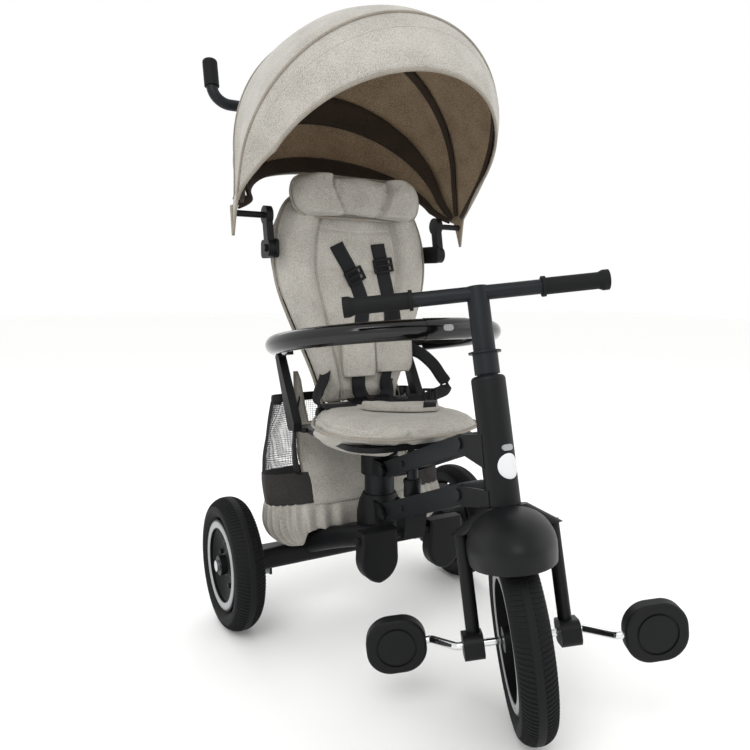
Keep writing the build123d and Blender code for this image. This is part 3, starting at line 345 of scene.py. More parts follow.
def tyre(name, centre, axis, radius, rim_radius, width, body, outward):
    """Tyre carcass with its lugs, and the rim's ring on its outer face or on both."""
    carcass = radius - LUG_RISE
    middle = (carcass + rim_radius + 3) / 2
    high, half = carcass - middle, width / 2 - 0.6

    def wall(angle, lift=0.0):
        return (middle + (high + lift) * cos(angle), (half + lift) * sin(angle))

    profile = []
    for k in range(72):
        angle = 2 * pi * k / 72 - pi
        radial, along = wall(angle)
        for rib in (1.28, 1.52, 1.76):
            for side in (-1, 1):
                lift = 0.9 * exp(-((angle - side * rib) / 0.035) ** 2)
                radial += lift * cos(angle)
                along += lift * sin(angle)
        if abs(along) < STRIP_HALF and abs(angle) < 1:
            radial += LUG_RISE * 0.9
        profile.append((radial, along))
    shape = turned(name, profile, centre, axis, tyre_foam, steps=160)

    verts, faces = [], []
    spans = 7
    for side in (-1, 1):
        for k in range(spans + 1):
            share = k / spans
            angle = side * (0.24 + 0.98 * share)
            slant = (0.35 - share) * 5.5 / radius
            half_lug = (LUG_PITCH * (0.36 - 0.05 * share)) / radius / 2
            for lift, widen in ((-0.8, 1.25), (LUG_RISE * (1 - 0.35 * share), 0.85)):
                radial, along = wall(angle, lift)
                for way in (-1, 1):
                    turn = slant + way * half_lug * widen
                    verts.append((radial * cos(turn) / 1000, radial * sin(turn) / 1000, along / 1000))
        base = len(verts) - 4 * (spans + 1)
        for k in range(spans):
            a, b = base + 4 * k, base + 4 * (k + 1)
            faces += [(a + 2, a + 3, b + 3, b + 2), (a, a + 2, b + 2, b), (a + 1, b + 1, b + 3, a + 3),
                      (a, b, b + 1, a + 1)]
        faces += [(base, base + 1, base + 3, base + 2),
                  (base + 4 * spans, base + 4 * spans + 2, base + 4 * spans + 3, base + 4 * spans + 1)]
    lug = piece(name + "_lug", verts, faces, tyre_foam, smooth=False)
    count = round(2 * pi * radius / LUG_PITCH)
    tread = bpy.data.objects.new(name + "_tread", lug_ring(lug, count, tyre_foam))
    bpy.data.objects.remove(lug)
    axis = Vector(axis).normalized()
    side = axis.orthogonal().normalized()
    place = Matrix((side, axis.cross(side), axis)).transposed().to_4x4()
    place.translation = centre
    tread.data.transform(place)
    scene.collection.objects.link(tread)
    for made in (shape, tread):
        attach(made, body)
    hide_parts(body.replace("_wheel", "_tyre"))

    for face_side in outward:
        edge = face_side * (width * 0.34 + 3.2)
        ring = turned(
            f"{name}_ring_{'plus' if face_side > 0 else 'minus'}",
            [(rim_radius - 9.5, edge + face_side * 0.1), (rim_radius - 8.5, edge + face_side * 1.4),
             (rim_radius - 4, edge + face_side * 2.1),
             (rim_radius + 1.5, edge + face_side * 1.5), (rim_radius + 2.5, edge)],
            centre, axis, ring_lacquer, steps=120)
        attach(ring, body)


REAR_HUBS = {"right": Vector((-0.222, 0.196, 0.110)), "left": Vector((0.222, 0.196, 0.110))}
BOSSES, BOSS_CIRCLE = 6, 0.036      # the bosses round a rear hub, and the radius they stand on
tyre("front_tyre_foam", FRONT_HUB, AXLE, 127.0, 86.0, 47.0, "front_wheel", (-1, 1))
for name, side in (("right", -1), ("left", 1)):
    tyre(f"{name}_rear_tyre_foam", REAR_HUBS[name], (1, 0, 0), 110.0, 70.0, 48.0, f"{name}_rear_wheel", (side,))

# Each rear rim is a dished black disc with six raised bosses round the hub
for name, side in (("right", -1), ("left", 1)):
    disc = [(9, 3.0), (12, 11.0), (18, 12.5), (21, 9.0), (30, 6.0), (48, 7.5), (58, 12.0), (61.5, 17.5), (61.5, 3.6)]
    dish = turned(f"{name}_rear_dish", [(r, side * s) for r, s in disc], REAR_HUBS[name], (1, 0, 0), black_plastic,
                  steps=96)
    bend_normals(dish)
    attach(dish, f"{name}_rear_wheel")
    for k in range(BOSSES):
        angle = 2 * pi * k / BOSSES + 0.3
        boss_centre = REAR_HUBS[name] + Vector((0, cos(angle), sin(angle))) * BOSS_CIRCLE
        boss = turned(f"{name}_rear_boss_{k}",
                      [(0, side * 5), (4.2, side * 5), (4.2, side * 10), (3.2, side * 11), (0, side * 11)],
                      boss_centre, (1, 0, 0), black_plastic, steps=20, closed=False)
        bend_normals(boss)
        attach(boss, f"{name}_rear_wheel")

# ---------------------------------------------------------------- front mudguard
# A domed polypropylene shell, like a visor, snapped over the fork's crown. It is moulded in one piece
# with a plain face, and its lower edge is rounded.

GUARD_AT = (0.0, -20.0, 122.0)      # mm on the fork: middle of the dome's widest line
GUARD_WIDE, GUARD_LONG, GUARD_HIGH = 57.0, 100.0, 47.0
GUARD_DROP = 24.0                   # mm from the widest line to the lower edge
GUARD_WALL = 2.6
BROW_SHARE = 0.35                   # share of the rows below the widest line
columns, rows = 72, 22
verts = []
for k in range(rows + 1):
    share = k / rows
    for j in range(columns + 1):
        angle = radians(-118 + 236 * j / columns)
        if share < BROW_SHARE:
            down = 1 - share / BROW_SHARE
            reach = 1.0 - 0.035 * down ** 2
            rise = -GUARD_DROP * down * (1 - 0.22 * (1 - cos(angle)) / 2)
        else:
            lift = (share - BROW_SHARE) / 0.65 * pi / 2
            reach = cos(lift) ** 0.85
            rise = GUARD_HIGH * sin(lift)
        lean = 1.0 + 0.10 * cos(angle) * (1 - abs(rise) / GUARD_HIGH)
        long = GUARD_LONG if cos(angle) > 0 else 46.0
        verts.append(on_fork(GUARD_AT[0] + GUARD_WIDE * reach * sin(angle),
                             GUARD_AT[1] - long * reach * lean * cos(angle) * 0.93, GUARD_AT[2] + rise))
guard = piece("front_mudguard", verts, grid(rows + 1, columns + 1), black_plastic)
thickened(guard, GUARD_WALL)
edge = guard.modifiers.new("edge", "BEVEL")
edge.width = 0.0009
edge.segments = 2
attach(guard, "steering")
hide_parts("front_fender")

# ---------------------------------------------------------------- canopy
# A hood of melange polyester lined with speckled brown cloth, sewn in three gores over four hoops, with
# a stiffened visor in front. The seams are piped and the hoops run in sleeves of the lining cloth.


def woven(name, light, middle, dark, thread_mm, depth_mm, sheen):
    """Melange cloth: dyed and raw fibres mixed, plain woven. Threads drawn coarser than life to show."""
    material, tree, shader = new_material(name)
    place = node(tree, "ShaderNodeTexCoord").outputs["Object"]
    fleck = node(tree, "ShaderNodeTexNoise", None, Vector=place, Scale=1000 / (thread_mm * 1.1), Detail=3.0,
                 Roughness=0.7)
    patch = node(tree, "ShaderNodeTexNoise", None, Vector=place, Scale=24.0, Detail=2.0)
    mixed = node(tree, "ShaderNodeMath", {"operation": "MULTIPLY_ADD"}, i0=patch.outputs["Fac"], i1=0.22,
                 i2=fleck.outputs["Fac"])
    tones = node(tree, "ShaderNodeValToRGB", None, Fac=mixed.outputs["Value"])
    tones.color_ramp.elements[0].position = 0.40
    tones.color_ramp.elements[0].color = linear(dark)
    tones.color_ramp.elements[1].position = 0.82
    tones.color_ramp.elements[1].color = linear(light)
    tones.color_ramp.elements.new(0.60).color = linear(middle)
    tree.links.new(tones.outputs["Color"], shader.inputs["Base Color"])
    heights = []
    for stretch in ((1.0, 1.0, 0.22), (0.22, 0.22, 1.0)):
        drawn = node(tree, "ShaderNodeMapping", None, Vector=place, Scale=tuple(1000 / thread_mm * s for s in stretch))
        heights.append(node(tree, "ShaderNodeTexNoise", None, Vector=drawn.outputs["Vector"], Scale=1.0,
                            Detail=1.0).outputs["Fac"])
    weave = node(tree, "ShaderNodeMath", {"operation": "MAXIMUM"}, i0=heights[0], i1=heights[1])
    relief = node(tree, "ShaderNodeBump", None, Height=weave.outputs["Value"], Strength=0.8, Distance=depth_mm / 1000)
    tree.links.new(relief.outputs["Normal"], shader.inputs["Normal"])
    shader.inputs["Roughness"].default_value = 0.88
    shader.inputs["Specular IOR Level"].default_value = 0.25
    shader.inputs["Sheen Weight"].default_value = sheen
    shader.inputs["Sheen Roughness"].default_value = 0.5
    return material


# Warm light-grey melange polyester, plain weave, dry and matt with a soft edge glow
melange = woven("grey_melange_polyester", "#c2bfb8", "#a6a29a", "#77736b", 1.2, 0.25, 0.2)
# Brown speckled lining, darker and thinner than the shell
lining = woven("brown_speckled_lining", "#b19f88", "#8c7961", "#5b4c3b", 1.5, 0.15, 0.1)
# Dark brown binding tape that sleeves the hoops
sleeve_tape = woven("dark_brown_binding", "#46392e", "#352b22", "#241d17", 1.2, 0.15, 0.1)
# Round piping covered in the shell's own cloth, coloured one tone darker than the shell
piping_cloth = woven("grey_piping_cloth", "#a39d92", "#8d867b", "#6c665c", 1.0, 0.15, 0.2)

HOOD_AXIS = Vector((0, 0.180, 0.680))
SAG = 5.0               # mm the cloth falls in between two hoops
TIP_HALF = 214.0        # mm from the middle to the hanging side tips
TIP_DROP = 34.0         # mm the tips hang below the hoops' axis
# Angle forward of upright, half-width and height of the hood, in degrees and mm
STATIONS = [(-56, 180, 168), (-46, 190, 206), (-33, 196, 254), (-19, 203, 292), (-5, 208, 314), (8, 211, 327),
            (22, 215, 340),
            (38, 218, 350), (46, 206, 338), (54, 192, 321)]
REAR_EDGE, BROAD_LINE, NARROW_LINE, FRONT_LINE, VISOR_EDGE = -56.0, -33.0, -5.0, 38.0, 54.0


def hermite(t, y0, y1, m0, m1):
    """A smooth step from y0 to y1 that leaves with slope m0 and arrives with m1."""
    return ((2 * t ** 3 - 3 * t * t + 1) * y0 + (t ** 3 - 2 * t * t + t) * m0
            + (3 * t * t - 2 * t ** 3) * y1 + (t ** 3 - t * t) * m1)


def station(angle):
    """Half-width and height of the hood at an angle, by a smooth curve through the stations."""
    for k in range(len(STATIONS) - 1):
        if angle <= STATIONS[k + 1][0] or k == len(STATIONS) - 2:
            a0, a1 = STATIONS[k], STATIONS[k + 1]
            before, after = STATIONS[max(k - 1, 0)], STATIONS[min(k + 2, len(STATIONS) - 1)]
            break
    span = a1[0] - a0[0]
    t = (angle - a0[0]) / span
    out = []
    for c in (1, 2):
        m0 = (a1[c] - before[c]) / (a1[0] - before[0]) * span
        m1 = (after[c] - a0[c]) / (after[0] - a0[0]) * span
        out.append(hermite(t, a0[c], a1[c], m0, m1))
    return out


def on_hood(angle, share, inset=0.0):
    """A point of the hood: angle forward of upright, and share from the right tip (0) to the left (1)."""
    half, high = station(angle)
    half, high = half - inset, high - inset
    spring = high * 0.3
    leg, tip = 0.13, 0.05
    side = 1 if share > 0.5 else -1
    s = min(share, 1 - share)
    if s < tip:
        u = s / tip
        across, radius = side * (TIP_HALF - inset - 3 * u), 20 * u
        drop = -TIP_DROP * (1 - u) ** 1.3
    elif s < leg:
        u = (s - tip) / (leg - tip)
        across = side * ((TIP_HALF - inset - 3) * (1 - u) ** 1.5 + half * (1 - (1 - u) ** 1.5))
        radius, drop = 20 + (spring - 20) * u, 0
    else:
        turn = (s - leg) / (0.5 - leg) * pi / 2
        across, radius, drop = side * half * cos(turn), spring + (high - spring) * sin(turn), 0
    a = radians(angle)
    return HOOD_AXIS + Vector((across, -radius * sin(a), radius * cos(a) + drop)) / 1000


def visor_taper(share):
    """How much of the visor's reach is left at a share of the hood: none at its sides, all of it on top."""
    return min(1.0, max(0.0, (min(share, 1 - share) - 0.055) / 0.12)) ** 0.6


def gore(name, start, end, steps, visor=False):
    """One panel of the hood from angle to angle, sagging a little between its hoops."""
    columns = 110
    verts = []
    for k in range(steps + 1):
        for j in range(columns + 1):
            share = j / columns
            angle = start + (end - start) * k / steps * (visor_taper(share) if visor else 1)
            sag = 0 if visor else SAG * sin(pi * k / steps) * min(1.0, 6 * min(share, 1 - share))
            crease = 1.2 * noise.noise(Vector((share * 9, angle / 11, 3.1))) * min(1.0, 8 * min(share, 1 - share))
            verts.append(on_hood(angle, share, sag + (0 if k in (0, steps) else crease)))
    width = columns + 1
    mesh = bpy.data.meshes.new(name)
    mesh.from_pydata([tuple(v) for v in verts], [], grid(steps + 1, width))
    for cloth in (melange, lining):
        mesh.materials.append(cloth)
    for face in mesh.polygons:
        face.use_smooth = True
    made = shown(name, mesh)
    crown = mesh.vertices[steps // 2 * width + columns // 2]
    if crown.normal.dot(crown.co - HOOD_AXIS) < 0:
        mesh.flip_normals()
    thickened(made, 1.6).material_offset = 1
    return made


def tube_along(name, points, radius, material, sides=8, closed=False):
    """A round cord of cloth or wire through points in metres."""
    points = [Vector(p) for p in points]
    count = len(points)
    verts = []
    side = None
    for k, point in enumerate(points):
        ahead = points[(k + 1) % count] if closed else points[min(k + 1, count - 1)]
        behind = points[k - 1] if closed or k else points[0]
        along = (ahead - behind).normalized()
        side = along.orthogonal().normalized() if side is None else (side - along * side.dot(along)).normalized()
        out = along.cross(side)
        verts += [point + (side * cos(2 * pi * j / sides) + out * sin(2 * pi * j / sides)) * radius
                  for j in range(sides)]
    faces = grid(count, sides, ring=True, loop=closed)
    if not closed:
        faces += [tuple(range(sides - 1, -1, -1)), tuple((count - 1) * sides + j for j in range(sides))]
    return piece(name, verts, faces, material)


def joined(name, parts):
    """Several meshes as one object."""
    work = bmesh.new()
    materials = []
    for part in parts:
        offset = len(work.faces)
        work.from_mesh(part.data)
        work.faces.ensure_lookup_table()
        own = [m for m in part.data.materials]
        for material in own:
            if material not in materials:
                materials.append(material)
        for face in work.faces[offset:]:
            face.material_index = materials.index(own[face.material_index])
    mesh = bpy.data.meshes.new(name)
    work.to_mesh(mesh)
    work.free()
    for material in materials:
        mesh.materials.append(material)
    for part in parts:
        bpy.data.objects.remove(part)
    return shown(name, mesh)


rear_gore = gore("canopy_rear_gore", REAR_EDGE, BROAD_LINE, 14)
middle_gore = gore("canopy_middle_gore", BROAD_LINE, NARROW_LINE, 16)
front_gore = gore("canopy_front_gore", NARROW_LINE, FRONT_LINE, 22)
visor = gore("canopy_visor", FRONT_LINE, VISOR_EDGE, 10, visor=True)
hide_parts("canopy_cover")

pipes = {}
for body, angle, radius, low in (
    ("canopy_base", REAR_EDGE, 2.6, 0.0),
    ("canopy_broad", BROAD_LINE, 1.3, 0.06),
    ("canopy_narrow", NARROW_LINE, 1.3, 0.06),
    ("canopy_front", FRONT_LINE, 2.2, 0.0),
):
    line = [on_hood(angle, low + (1 - 2 * low) * j / 140, -0.6) for j in range(141)]
    pipes[body] = [tube_along(f"pipe_{body}", line, radius / 1000, piping_cloth)]
lip = []
for share in (0.055 + 0.89 * j / 140 for j in range(141)):
    lip.append(on_hood(FRONT_LINE + (VISOR_EDGE - FRONT_LINE) * visor_taper(share), share, 0.5))
pipes["canopy_front"].append(tube_along("pipe_visor", lip, 0.0024, piping_cloth))
for body, parts in pipes.items():
    piping = joined(f"{body}_piping", parts)
    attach(piping, body)

# Each gore has its placement baked into its mesh and is attached to no hoop's body; the hoop bodies behind and ahead of
# it, its middle angle and its reach are listed but not used
for gored, behind, ahead, middle, reach in (
    (rear_gore, "canopy_base", "canopy_broad", -33, 0.066),
    (middle_gore, "canopy_broad", "canopy_narrow", -19, 0.029),
    (front_gore, "canopy_narrow", "canopy_front", 16.5, 0.044),
):
    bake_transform(gored)
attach(visor, "canopy_front")

# The four hoops, each sewn into a sleeve of binding tape inside the hood
for body, angle, width, inset in (
    ("canopy_broad", BROAD_LINE, 42, 10.5),
    ("canopy_narrow", NARROW_LINE, 17, 8.0),
    ("canopy_front", FRONT_LINE, 20, 8.0),
    ("canopy_base", -52.0, 18, 12.5),
):
    verts = []
    rows = 6
    for k in range(rows + 1):
        for j in range(101):
            share = 0.052 + 0.896 * j / 100
            turn = angle + (k / rows - 0.5) * width / radians(station(angle)[1])
            bulge = 2.5 * (1 - (2 * k / rows - 1) ** 2)
            verts.append(on_hood(turn, share, inset - 4.2 + bulge))
    sleeve = piece(f"{body}_sleeve", verts, grid(rows + 1, 101), sleeve_tape)
    thickened(sleeve, 4.0)
    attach(sleeve, body)
    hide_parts(body.replace("base", "rear") + "_hoop")

# ---------------------------------------------------------------- seat, backrest and headrest cushions
# Foam and wadding in the canopy's melange cloth, closed by a piped seam all round. Raised side rolls
# are sewn to a flatter middle; the headrest is a loose pillow with two rolled ends.

BACK_LEAN = radians(5.4)
BACK_FOOT = Vector((0, 0.162, 0.380))
BACK_OUT = Vector((0, -cos(BACK_LEAN), sin(BACK_LEAN)))
BACK_UP = Vector((0, sin(BACK_LEAN), cos(BACK_LEAN)))
BACK_MATRIX = Matrix(((1, 0, 0), (0, BACK_UP.y, BACK_UP.z), (0, BACK_OUT.y, BACK_OUT.z))).transposed().to_4x4()
BACK_MATRIX.translation = BACK_FOOT
SEAT_MATRIX = Matrix.Translation((0, 0, 0.349))


def smooth_curve(value, knots):
    """A smooth interpolation through (position, height) knots."""
    if value <= knots[0][0]:
        return knots[0][1]
    for k in range(len(knots) - 1):
        (x0, y0), (x1, y1) = knots[k], knots[k + 1]
        if value <= x1:
            before, after = knots[max(k - 1, 0)], knots[min(k + 2, len(knots) - 1)]
            span, t = x1 - x0, (value - x0) / (x1 - x0)
            m0 = (y1 - before[1]) / max(x1 - before[0], 1e-6) * span
            m1 = (after[1] - y0) / max(after[0] - x0, 1e-6) * span
            return hermite(t, y0, y1, m0, m1)
    return knots[-1][1]


def cushion(name, matrix, low, high, half_width, front, back, seam, across=64, along=90):
    """A closed pad between a front and a back surface, in mm on its own plane.

    half_width(y) is its outline; front(s, y) and back(s, y) are heights above and below the seam for a
    share s of that width.
    """
    verts = []
    for face in (1, -1):
        for k in range(along + 1):
            y = low + (high - low) * (0.5 - 0.5 * cos(pi * k / along))
            for j in range(across + 1):
                s = -cos(pi * j / across)
                height = front(s, y) if face > 0 else -back(s, y)
                ends = min(1.0, 2 * min(k, along - k) / along * 5)
                edge = sqrt(max(0.0, 1 - abs(s) ** 7)) * sqrt(1 - (1 - ends) ** 2)
                verts.append(Vector((s * half_width(y), y, seam(s, y) + height * edge)) / 1000)
    width = across + 1
    layer = (along + 1) * width
    faces = [tuple(f * layer + corner for corner in quad) for f in (0, 1) for quad in grid(along + 1, width)]
    made = piece(name, verts, faces, melange)
    made.data.transform(matrix)
    return made


def puffed(shape, name, voxel, pressure, cap):
    """The cushion recipe: a remeshed copy is blown up gently as cloth, then smoothed once."""
    remesh = shape.modifiers.new("voxels", "REMESH")
    remesh.mode = "VOXEL"
    remesh.voxel_size = voxel
    remesh.use_smooth_shade = True
    mesh = evaluated(shape)
    soft = shown(name, mesh)
    start = [v.co.copy() for v in mesh.vertices]
    cloth = soft.modifiers.new("cloth", "CLOTH")
    cloth.settings.use_pressure = True
    cloth.settings.uniform_pressure_force = pressure
    cloth.settings.effector_weights.gravity = 0
    cloth.settings.quality = 4
    cloth.point_cache.frame_start, cloth.point_cache.frame_end = 1, 20
    for frame_number in range(1, 21):
        scene.frame_set(frame_number)
    blown = evaluated(soft)
    for k, vertex in enumerate(blown.vertices):
        moved = vertex.co - start[k]
        if moved.length > cap:
            vertex.co = start[k] + moved * (cap / moved.length)
    bpy.data.objects.remove(soft)
    scene.frame_set(1)
    bpy.data.objects.remove(shape)
    for polygon in blown.polygons:
        polygon.use_smooth = True
    made = shown(name, blown)
    rounded = made.modifiers.new("rounded", "SUBSURF")
    rounded.levels = rounded.render_levels = render_levels
    final = evaluated(made)
    made.modifiers.clear()
    made.data = final
    return made


def sewn(shape, matrix, lines, depth, spread):
    """Pulls the front of a pad in along sewn lines, given as point lists in mm on the pad's plane."""
    inverse = matrix.inverted()
    out = matrix.to_3x3() @ Vector((0, 0, 1))
    segments = [(Vector(line[k]), Vector(line[k + 1])) for line in lines for k in range(len(line) - 1)]
    for vertex in shape.data.vertices:
        if vertex.normal.dot(out) < 0.05:
            continue
        local = (inverse @ vertex.co) * 1000
        spot = Vector((local.x, local.y))
        nearest = 1e9
        for a, b in segments:
            run = b - a
            t = min(1.0, max(0.0, (spot - a).dot(run) / run.length_squared))
            nearest = min(nearest, (spot - a - run * t).length)
        if nearest < 3 * spread:
            vertex.co -= out * depth / 1000 * exp(-(nearest / spread) ** 2)
    shape.data.update()


def on_pad(matrix, x, y, z):
    """A point given in mm on a pad's own plane."""
    return matrix @ (Vector((x, y, z)) / 1000)


def outline_piping(name, matrix, low, high, half_width, seam, radius, body, shift):
    """Piping round a pad's edge, shifted outwards in mm."""
    points = []
    for way in (1, -1):
        for k in range(81):
            t = k / 80 if way > 0 else 1 - k / 80
            y = low + (high - low) * (0.5 - 0.5 * cos(pi * t))
            points.append(on_pad(matrix, way * (half_width(y) + shift), y, seam(way, y)))
    for way, y, at in ((-1, low, 0), (1, high, 81)):
        points[at:at] = [on_pad(matrix, way * half_width(y) * (1 - 2 * k / 12), y + way * shift, seam(0, y))
                         for k in range(1, 12)]
    made = tube_along(name, points, radius / 1000, piping_cloth, closed=True)
    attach(made, body)


# Backrest: narrow at the hips, widest at the shoulders, with a fat roll down each side
BACK_OUTLINE = [(-12, 70), (25, 80), (60, 92), (100, 108), (140, 124), (185, 139), (225, 145), (265, 143), (300, 134),
                (330, 118), (350, 92)]
ROLL_START = [(-12, 0.50), (60, 0.52), (140, 0.52), (225, 0.54), (300, 0.50), (350, 0.42)]


def back_half(y):
    """Half-width of the backrest at a height in mm."""
    return smooth_curve(y, BACK_OUTLINE)


def back_front(s, y):
    """Front height of the backrest: a gentle crown between two rolls that fade at both ends."""
    start = smooth_curve(y, ROLL_START)
    fade = min(1.0, (y + 12) / 70) * min(1.0, (350 - y) / 40)
    middle = 13 + 4 * (1 - (min(abs(s), start) / start) ** 2) + 1.6 * noise.noise(Vector((s * 2.2, y / 45, 0.5)))
    if abs(s) < start:
        return middle
    t = (abs(s) - start) / (1 - start)
    return (12 + (21 * fade + 3) * sin(pi * min(1.0, t * 0.92 + 0.04)) ** 0.75 * (1 - 0.25 * t)
            + 1.2 * noise.noise(Vector((s * 3, y / 30, 7.5))))


def flat_seam(level):
    """A seam that lies flat at one height in mm."""
    return lambda s, y: level


backrest = cushion("backrest_cushion", BACK_MATRIX, -12, 350, back_half, back_front, lambda s, y: 12, flat_seam(-17))
backrest = puffed(backrest, "backrest_cushion", 0.0045, 3.0, 0.006)
roll_seams = [[(way * smooth_curve(y, ROLL_START) * back_half(y), y) for y in range(-8, 346, 12)] for way in (-1, 1)]
cross_seams = [[(-62, 218), (-20, 214), (20, 214), (62, 218)], [(-48, 120), (0, 117), (48, 120)],
               [(-68, 286), (0, 281), (68, 286)],
               [(-12, 214), (-6, 165), (-8, 120)], [(30, 214), (36, 165), (30, 120)]]
sewn(backrest, BACK_MATRIX, roll_seams, 6.0, 3.4)
sewn(backrest, BACK_MATRIX, cross_seams, 2.4, 2.6)
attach(backrest, "backrest")
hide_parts("backrest_pad")
outline_piping("backrest_piping", BACK_MATRIX, -12, 350, back_half, flat_seam(-15), 2.4, "backrest", -0.8)
for k, line in enumerate(roll_seams):
    points = [on_pad(BACK_MATRIX, x, y, -1.8 - 1.2 * abs(y - 170) / 170) for x, y in line]
    welt = tube_along(f"backrest_welt_{k}", points, 0.0014, piping_cloth)
    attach(welt, "backrest")

# Headrest: two round rolls with a hollow between them
HEAD_MATRIX = BACK_MATRIX @ Matrix.Translation((0, 0.338, 0.012))


def head_half(y):
    return smooth_curve(y, [(-34, 96), (-26, 110), (-10, 118), (8, 119), (24, 112), (33, 96)])


def head_front(s, y):
    """Front height of the pillow: two round rolls and a hollow that widens upwards."""
    start = 0.40 + 0.10 * y / 34
    if abs(s) < start:
        return 12 + 4 * cos(pi * s / start / 2) + 1.5 * noise.noise(Vector((s * 3, y / 20, 2.5)))
    t = (abs(s) - start) / (1 - start)
    return 13 + 21 * sin(pi * min(1.0, t * 0.85 + 0.05)) ** 0.7 + 1.4 * noise.noise(Vector((s * 4, y / 18, 5.5)))


headrest = cushion("headrest_pillow", HEAD_MATRIX, -34, 33, head_half, head_front, lambda s, y: 9, flat_seam(2),
                   along=44)
headrest = puffed(headrest, "headrest_pillow", 0.0042, 4.0, 0.007)
head_seams = [[(way * (0.40 + 0.10 * y / 34) * head_half(y), y) for y in range(-31, 32, 6)] for way in (-1, 1)]
sewn(headrest, HEAD_MATRIX, head_seams, 7.0, 3.6)
sewn(headrest, HEAD_MATRIX, [[(-30, -32), (-12, -10), (-26, 12)], [(20, -30), (30, -8), (18, 14)]], 1.6, 3.0)
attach(headrest, "backrest")
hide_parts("headrest")
outline_piping("headrest_piping", HEAD_MATRIX, -34, 33, head_half, flat_seam(2), 2.2, "backrest", 0.8)

# Seat: a rounded-triangle pad with a piped top and a soft under-skirt that tucks in below the pan's rim
SEAT_OUTLINE = [(-64, 30), (-60, 56), (-50, 83), (-38, 104), (-15, 122), (10, 129), (25, 131), (60, 129), (90, 124),
                (125, 108), (150, 94), (156, 86)]


def seat_half(y):
    return smooth_curve(y, SEAT_OUTLINE)


def seat_front(s, y):
    hollow = 3.0 * exp(-((s * seat_half(y)) / 55) ** 2 - ((y - 60) / 60) ** 2)
    return 15.5 - hollow + 1.5 * noise.noise(Vector((s * 2.5, y / 35, 9.5)))


def seat_seam(s, y):
    """The seam dips at the front of the seat."""
    return 1.5 - 3.5 * min(1.0, max(0.0, (-20 - y) / 44)) ** 2


seat = cushion("seat_cushion", SEAT_MATRIX, -64, 156, seat_half, seat_front, lambda s, y: 10.5, seat_seam, along=70)
seat = puffed(seat, "seat_cushion", 0.0045, 3.0, 0.005)
inner_line = [(way * (seat_half(y) - 13), y) for way,
              run in ((-1, range(130, -50, -9)), (1, range(-50, 131, 9))) for y in run]
sewn(seat, SEAT_MATRIX, [inner_line], 2.6, 2.8)
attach(seat, "rear_frame")
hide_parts("seat_pad")
outline_piping("seat_piping", SEAT_MATRIX, -64, 156, seat_half, seat_seam, 2.3, "rear_frame", -1.2)

verts = []
around, rows = 120, 12
for k in range(rows + 1):
    t = k / rows
    for j in range(around):
        angle = 2 * pi * j / around
        x, y = sin(angle), -cos(angle)
        side_y = 46 + 110 * y
        half = seat_half(min(150, max(-60, side_y)))
        fold = 1 + 0.018 * sin(angle * 13 + 1.3) * sin(pi * t) + 0.02 * noise.noise(Vector((x * 3, y * 3, t * 2)))
        shrink = (1 - 0.20 * t ** 2.0) * fold
        centre_y = 46 + 34 * t
        px = x / max(abs(x), 1e-6) * min(abs(x) ** 0.85 * half, half) * shrink
        over_beam = exp(-(px / 34) ** 4) * max(0.0, -y)
        depth = (38 - 24 * over_beam) * t ** 0.9 * (0.75 + 0.25 * max(0.0, -y))
        verts.append(Vector((px, centre_y + 110 * y * (1 - 0.02 * t) * fold, 348 - depth)) / 1000)
skirt = piece("seat_skirt", verts, grid(rows + 1, around, ring=True), melange)
thickened(skirt, 1.8)
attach(skirt, "rear_frame")

# ---------------------------------------------------------------- harness
# Five straps of black polyester webbing meet at a nylon buckle behind the seat pad. The shoulder straps
# come through slits in the backrest, each with a slider and a grey cloth pad; a folded pad covers the crotch strap.

WEB_THICK = 1.7         # mm
SHOULDER_LINES = {
    "right": (25, [(-41, 262), (-36, 252), (-27, 236), (-15, 215), (-4, 190), (4, 165), (4, 140), (-3, 108)]),
    "left": (27, [(39, 266), (41, 252), (46, 228), (52, 196), (58, 168), (61, 140), (60, 104)]),
}

# Webbing: filament polyester, ribbed across its run, with a dull silky shine. Ribs drawn 1.6 mm apart
webbing, tree, shader = new_material("black_polyester_webbing")
place = node(tree, "ShaderNodeTexCoord").outputs["Object"]
ribs = node(tree, "ShaderNodeTexWave", {"wave_type": "BANDS", "bands_direction": "Z"}, Vector=place, Scale=310.0,
            Distortion=1.5)
grains = node(tree, "ShaderNodeTexNoise", None, Vector=place, Scale=700.0, Detail=2.0)
tones = node(tree, "ShaderNodeMix", {"data_type": "RGBA"}, i0=grains.outputs["Fac"], i6=linear("#0b0c0e"),
             i7=linear("#1c1d20"))
tree.links.new(tones.outputs[2], shader.inputs["Base Color"])
relief = node(tree, "ShaderNodeBump", None, Height=ribs.outputs["Fac"], Strength=0.5, Distance=0.0003)
tree.links.new(relief.outputs["Normal"], shader.inputs["Normal"])
shader.inputs["Roughness"].default_value = 0.62
shader.inputs["Specular IOR Level"].default_value = 0.2
shader.inputs["Sheen Weight"].default_value = 0.05


def surface_of(shape):
    """A lookup of a finished pad's surface, so that what lies on it can follow it."""
    return BVHTree.FromPolygons([v.co.copy() for v in shape.data.vertices],
                                [list(p.vertices) for p in shape.data.polygons])


def laid(surface, matrix, x, y, lift):
    """The point lift mm above the pad at (x, y) on its plane; off the pad, the plane itself is taken."""
    out = (matrix.to_3x3() @ Vector((0, 0, 1))).normalized()
    hit = surface.ray_cast(on_pad(matrix, x, y, 90), -out, 0.12)[0]
    return (hit if hit else on_pad(matrix, x, y, 0)) + out * lift / 1000


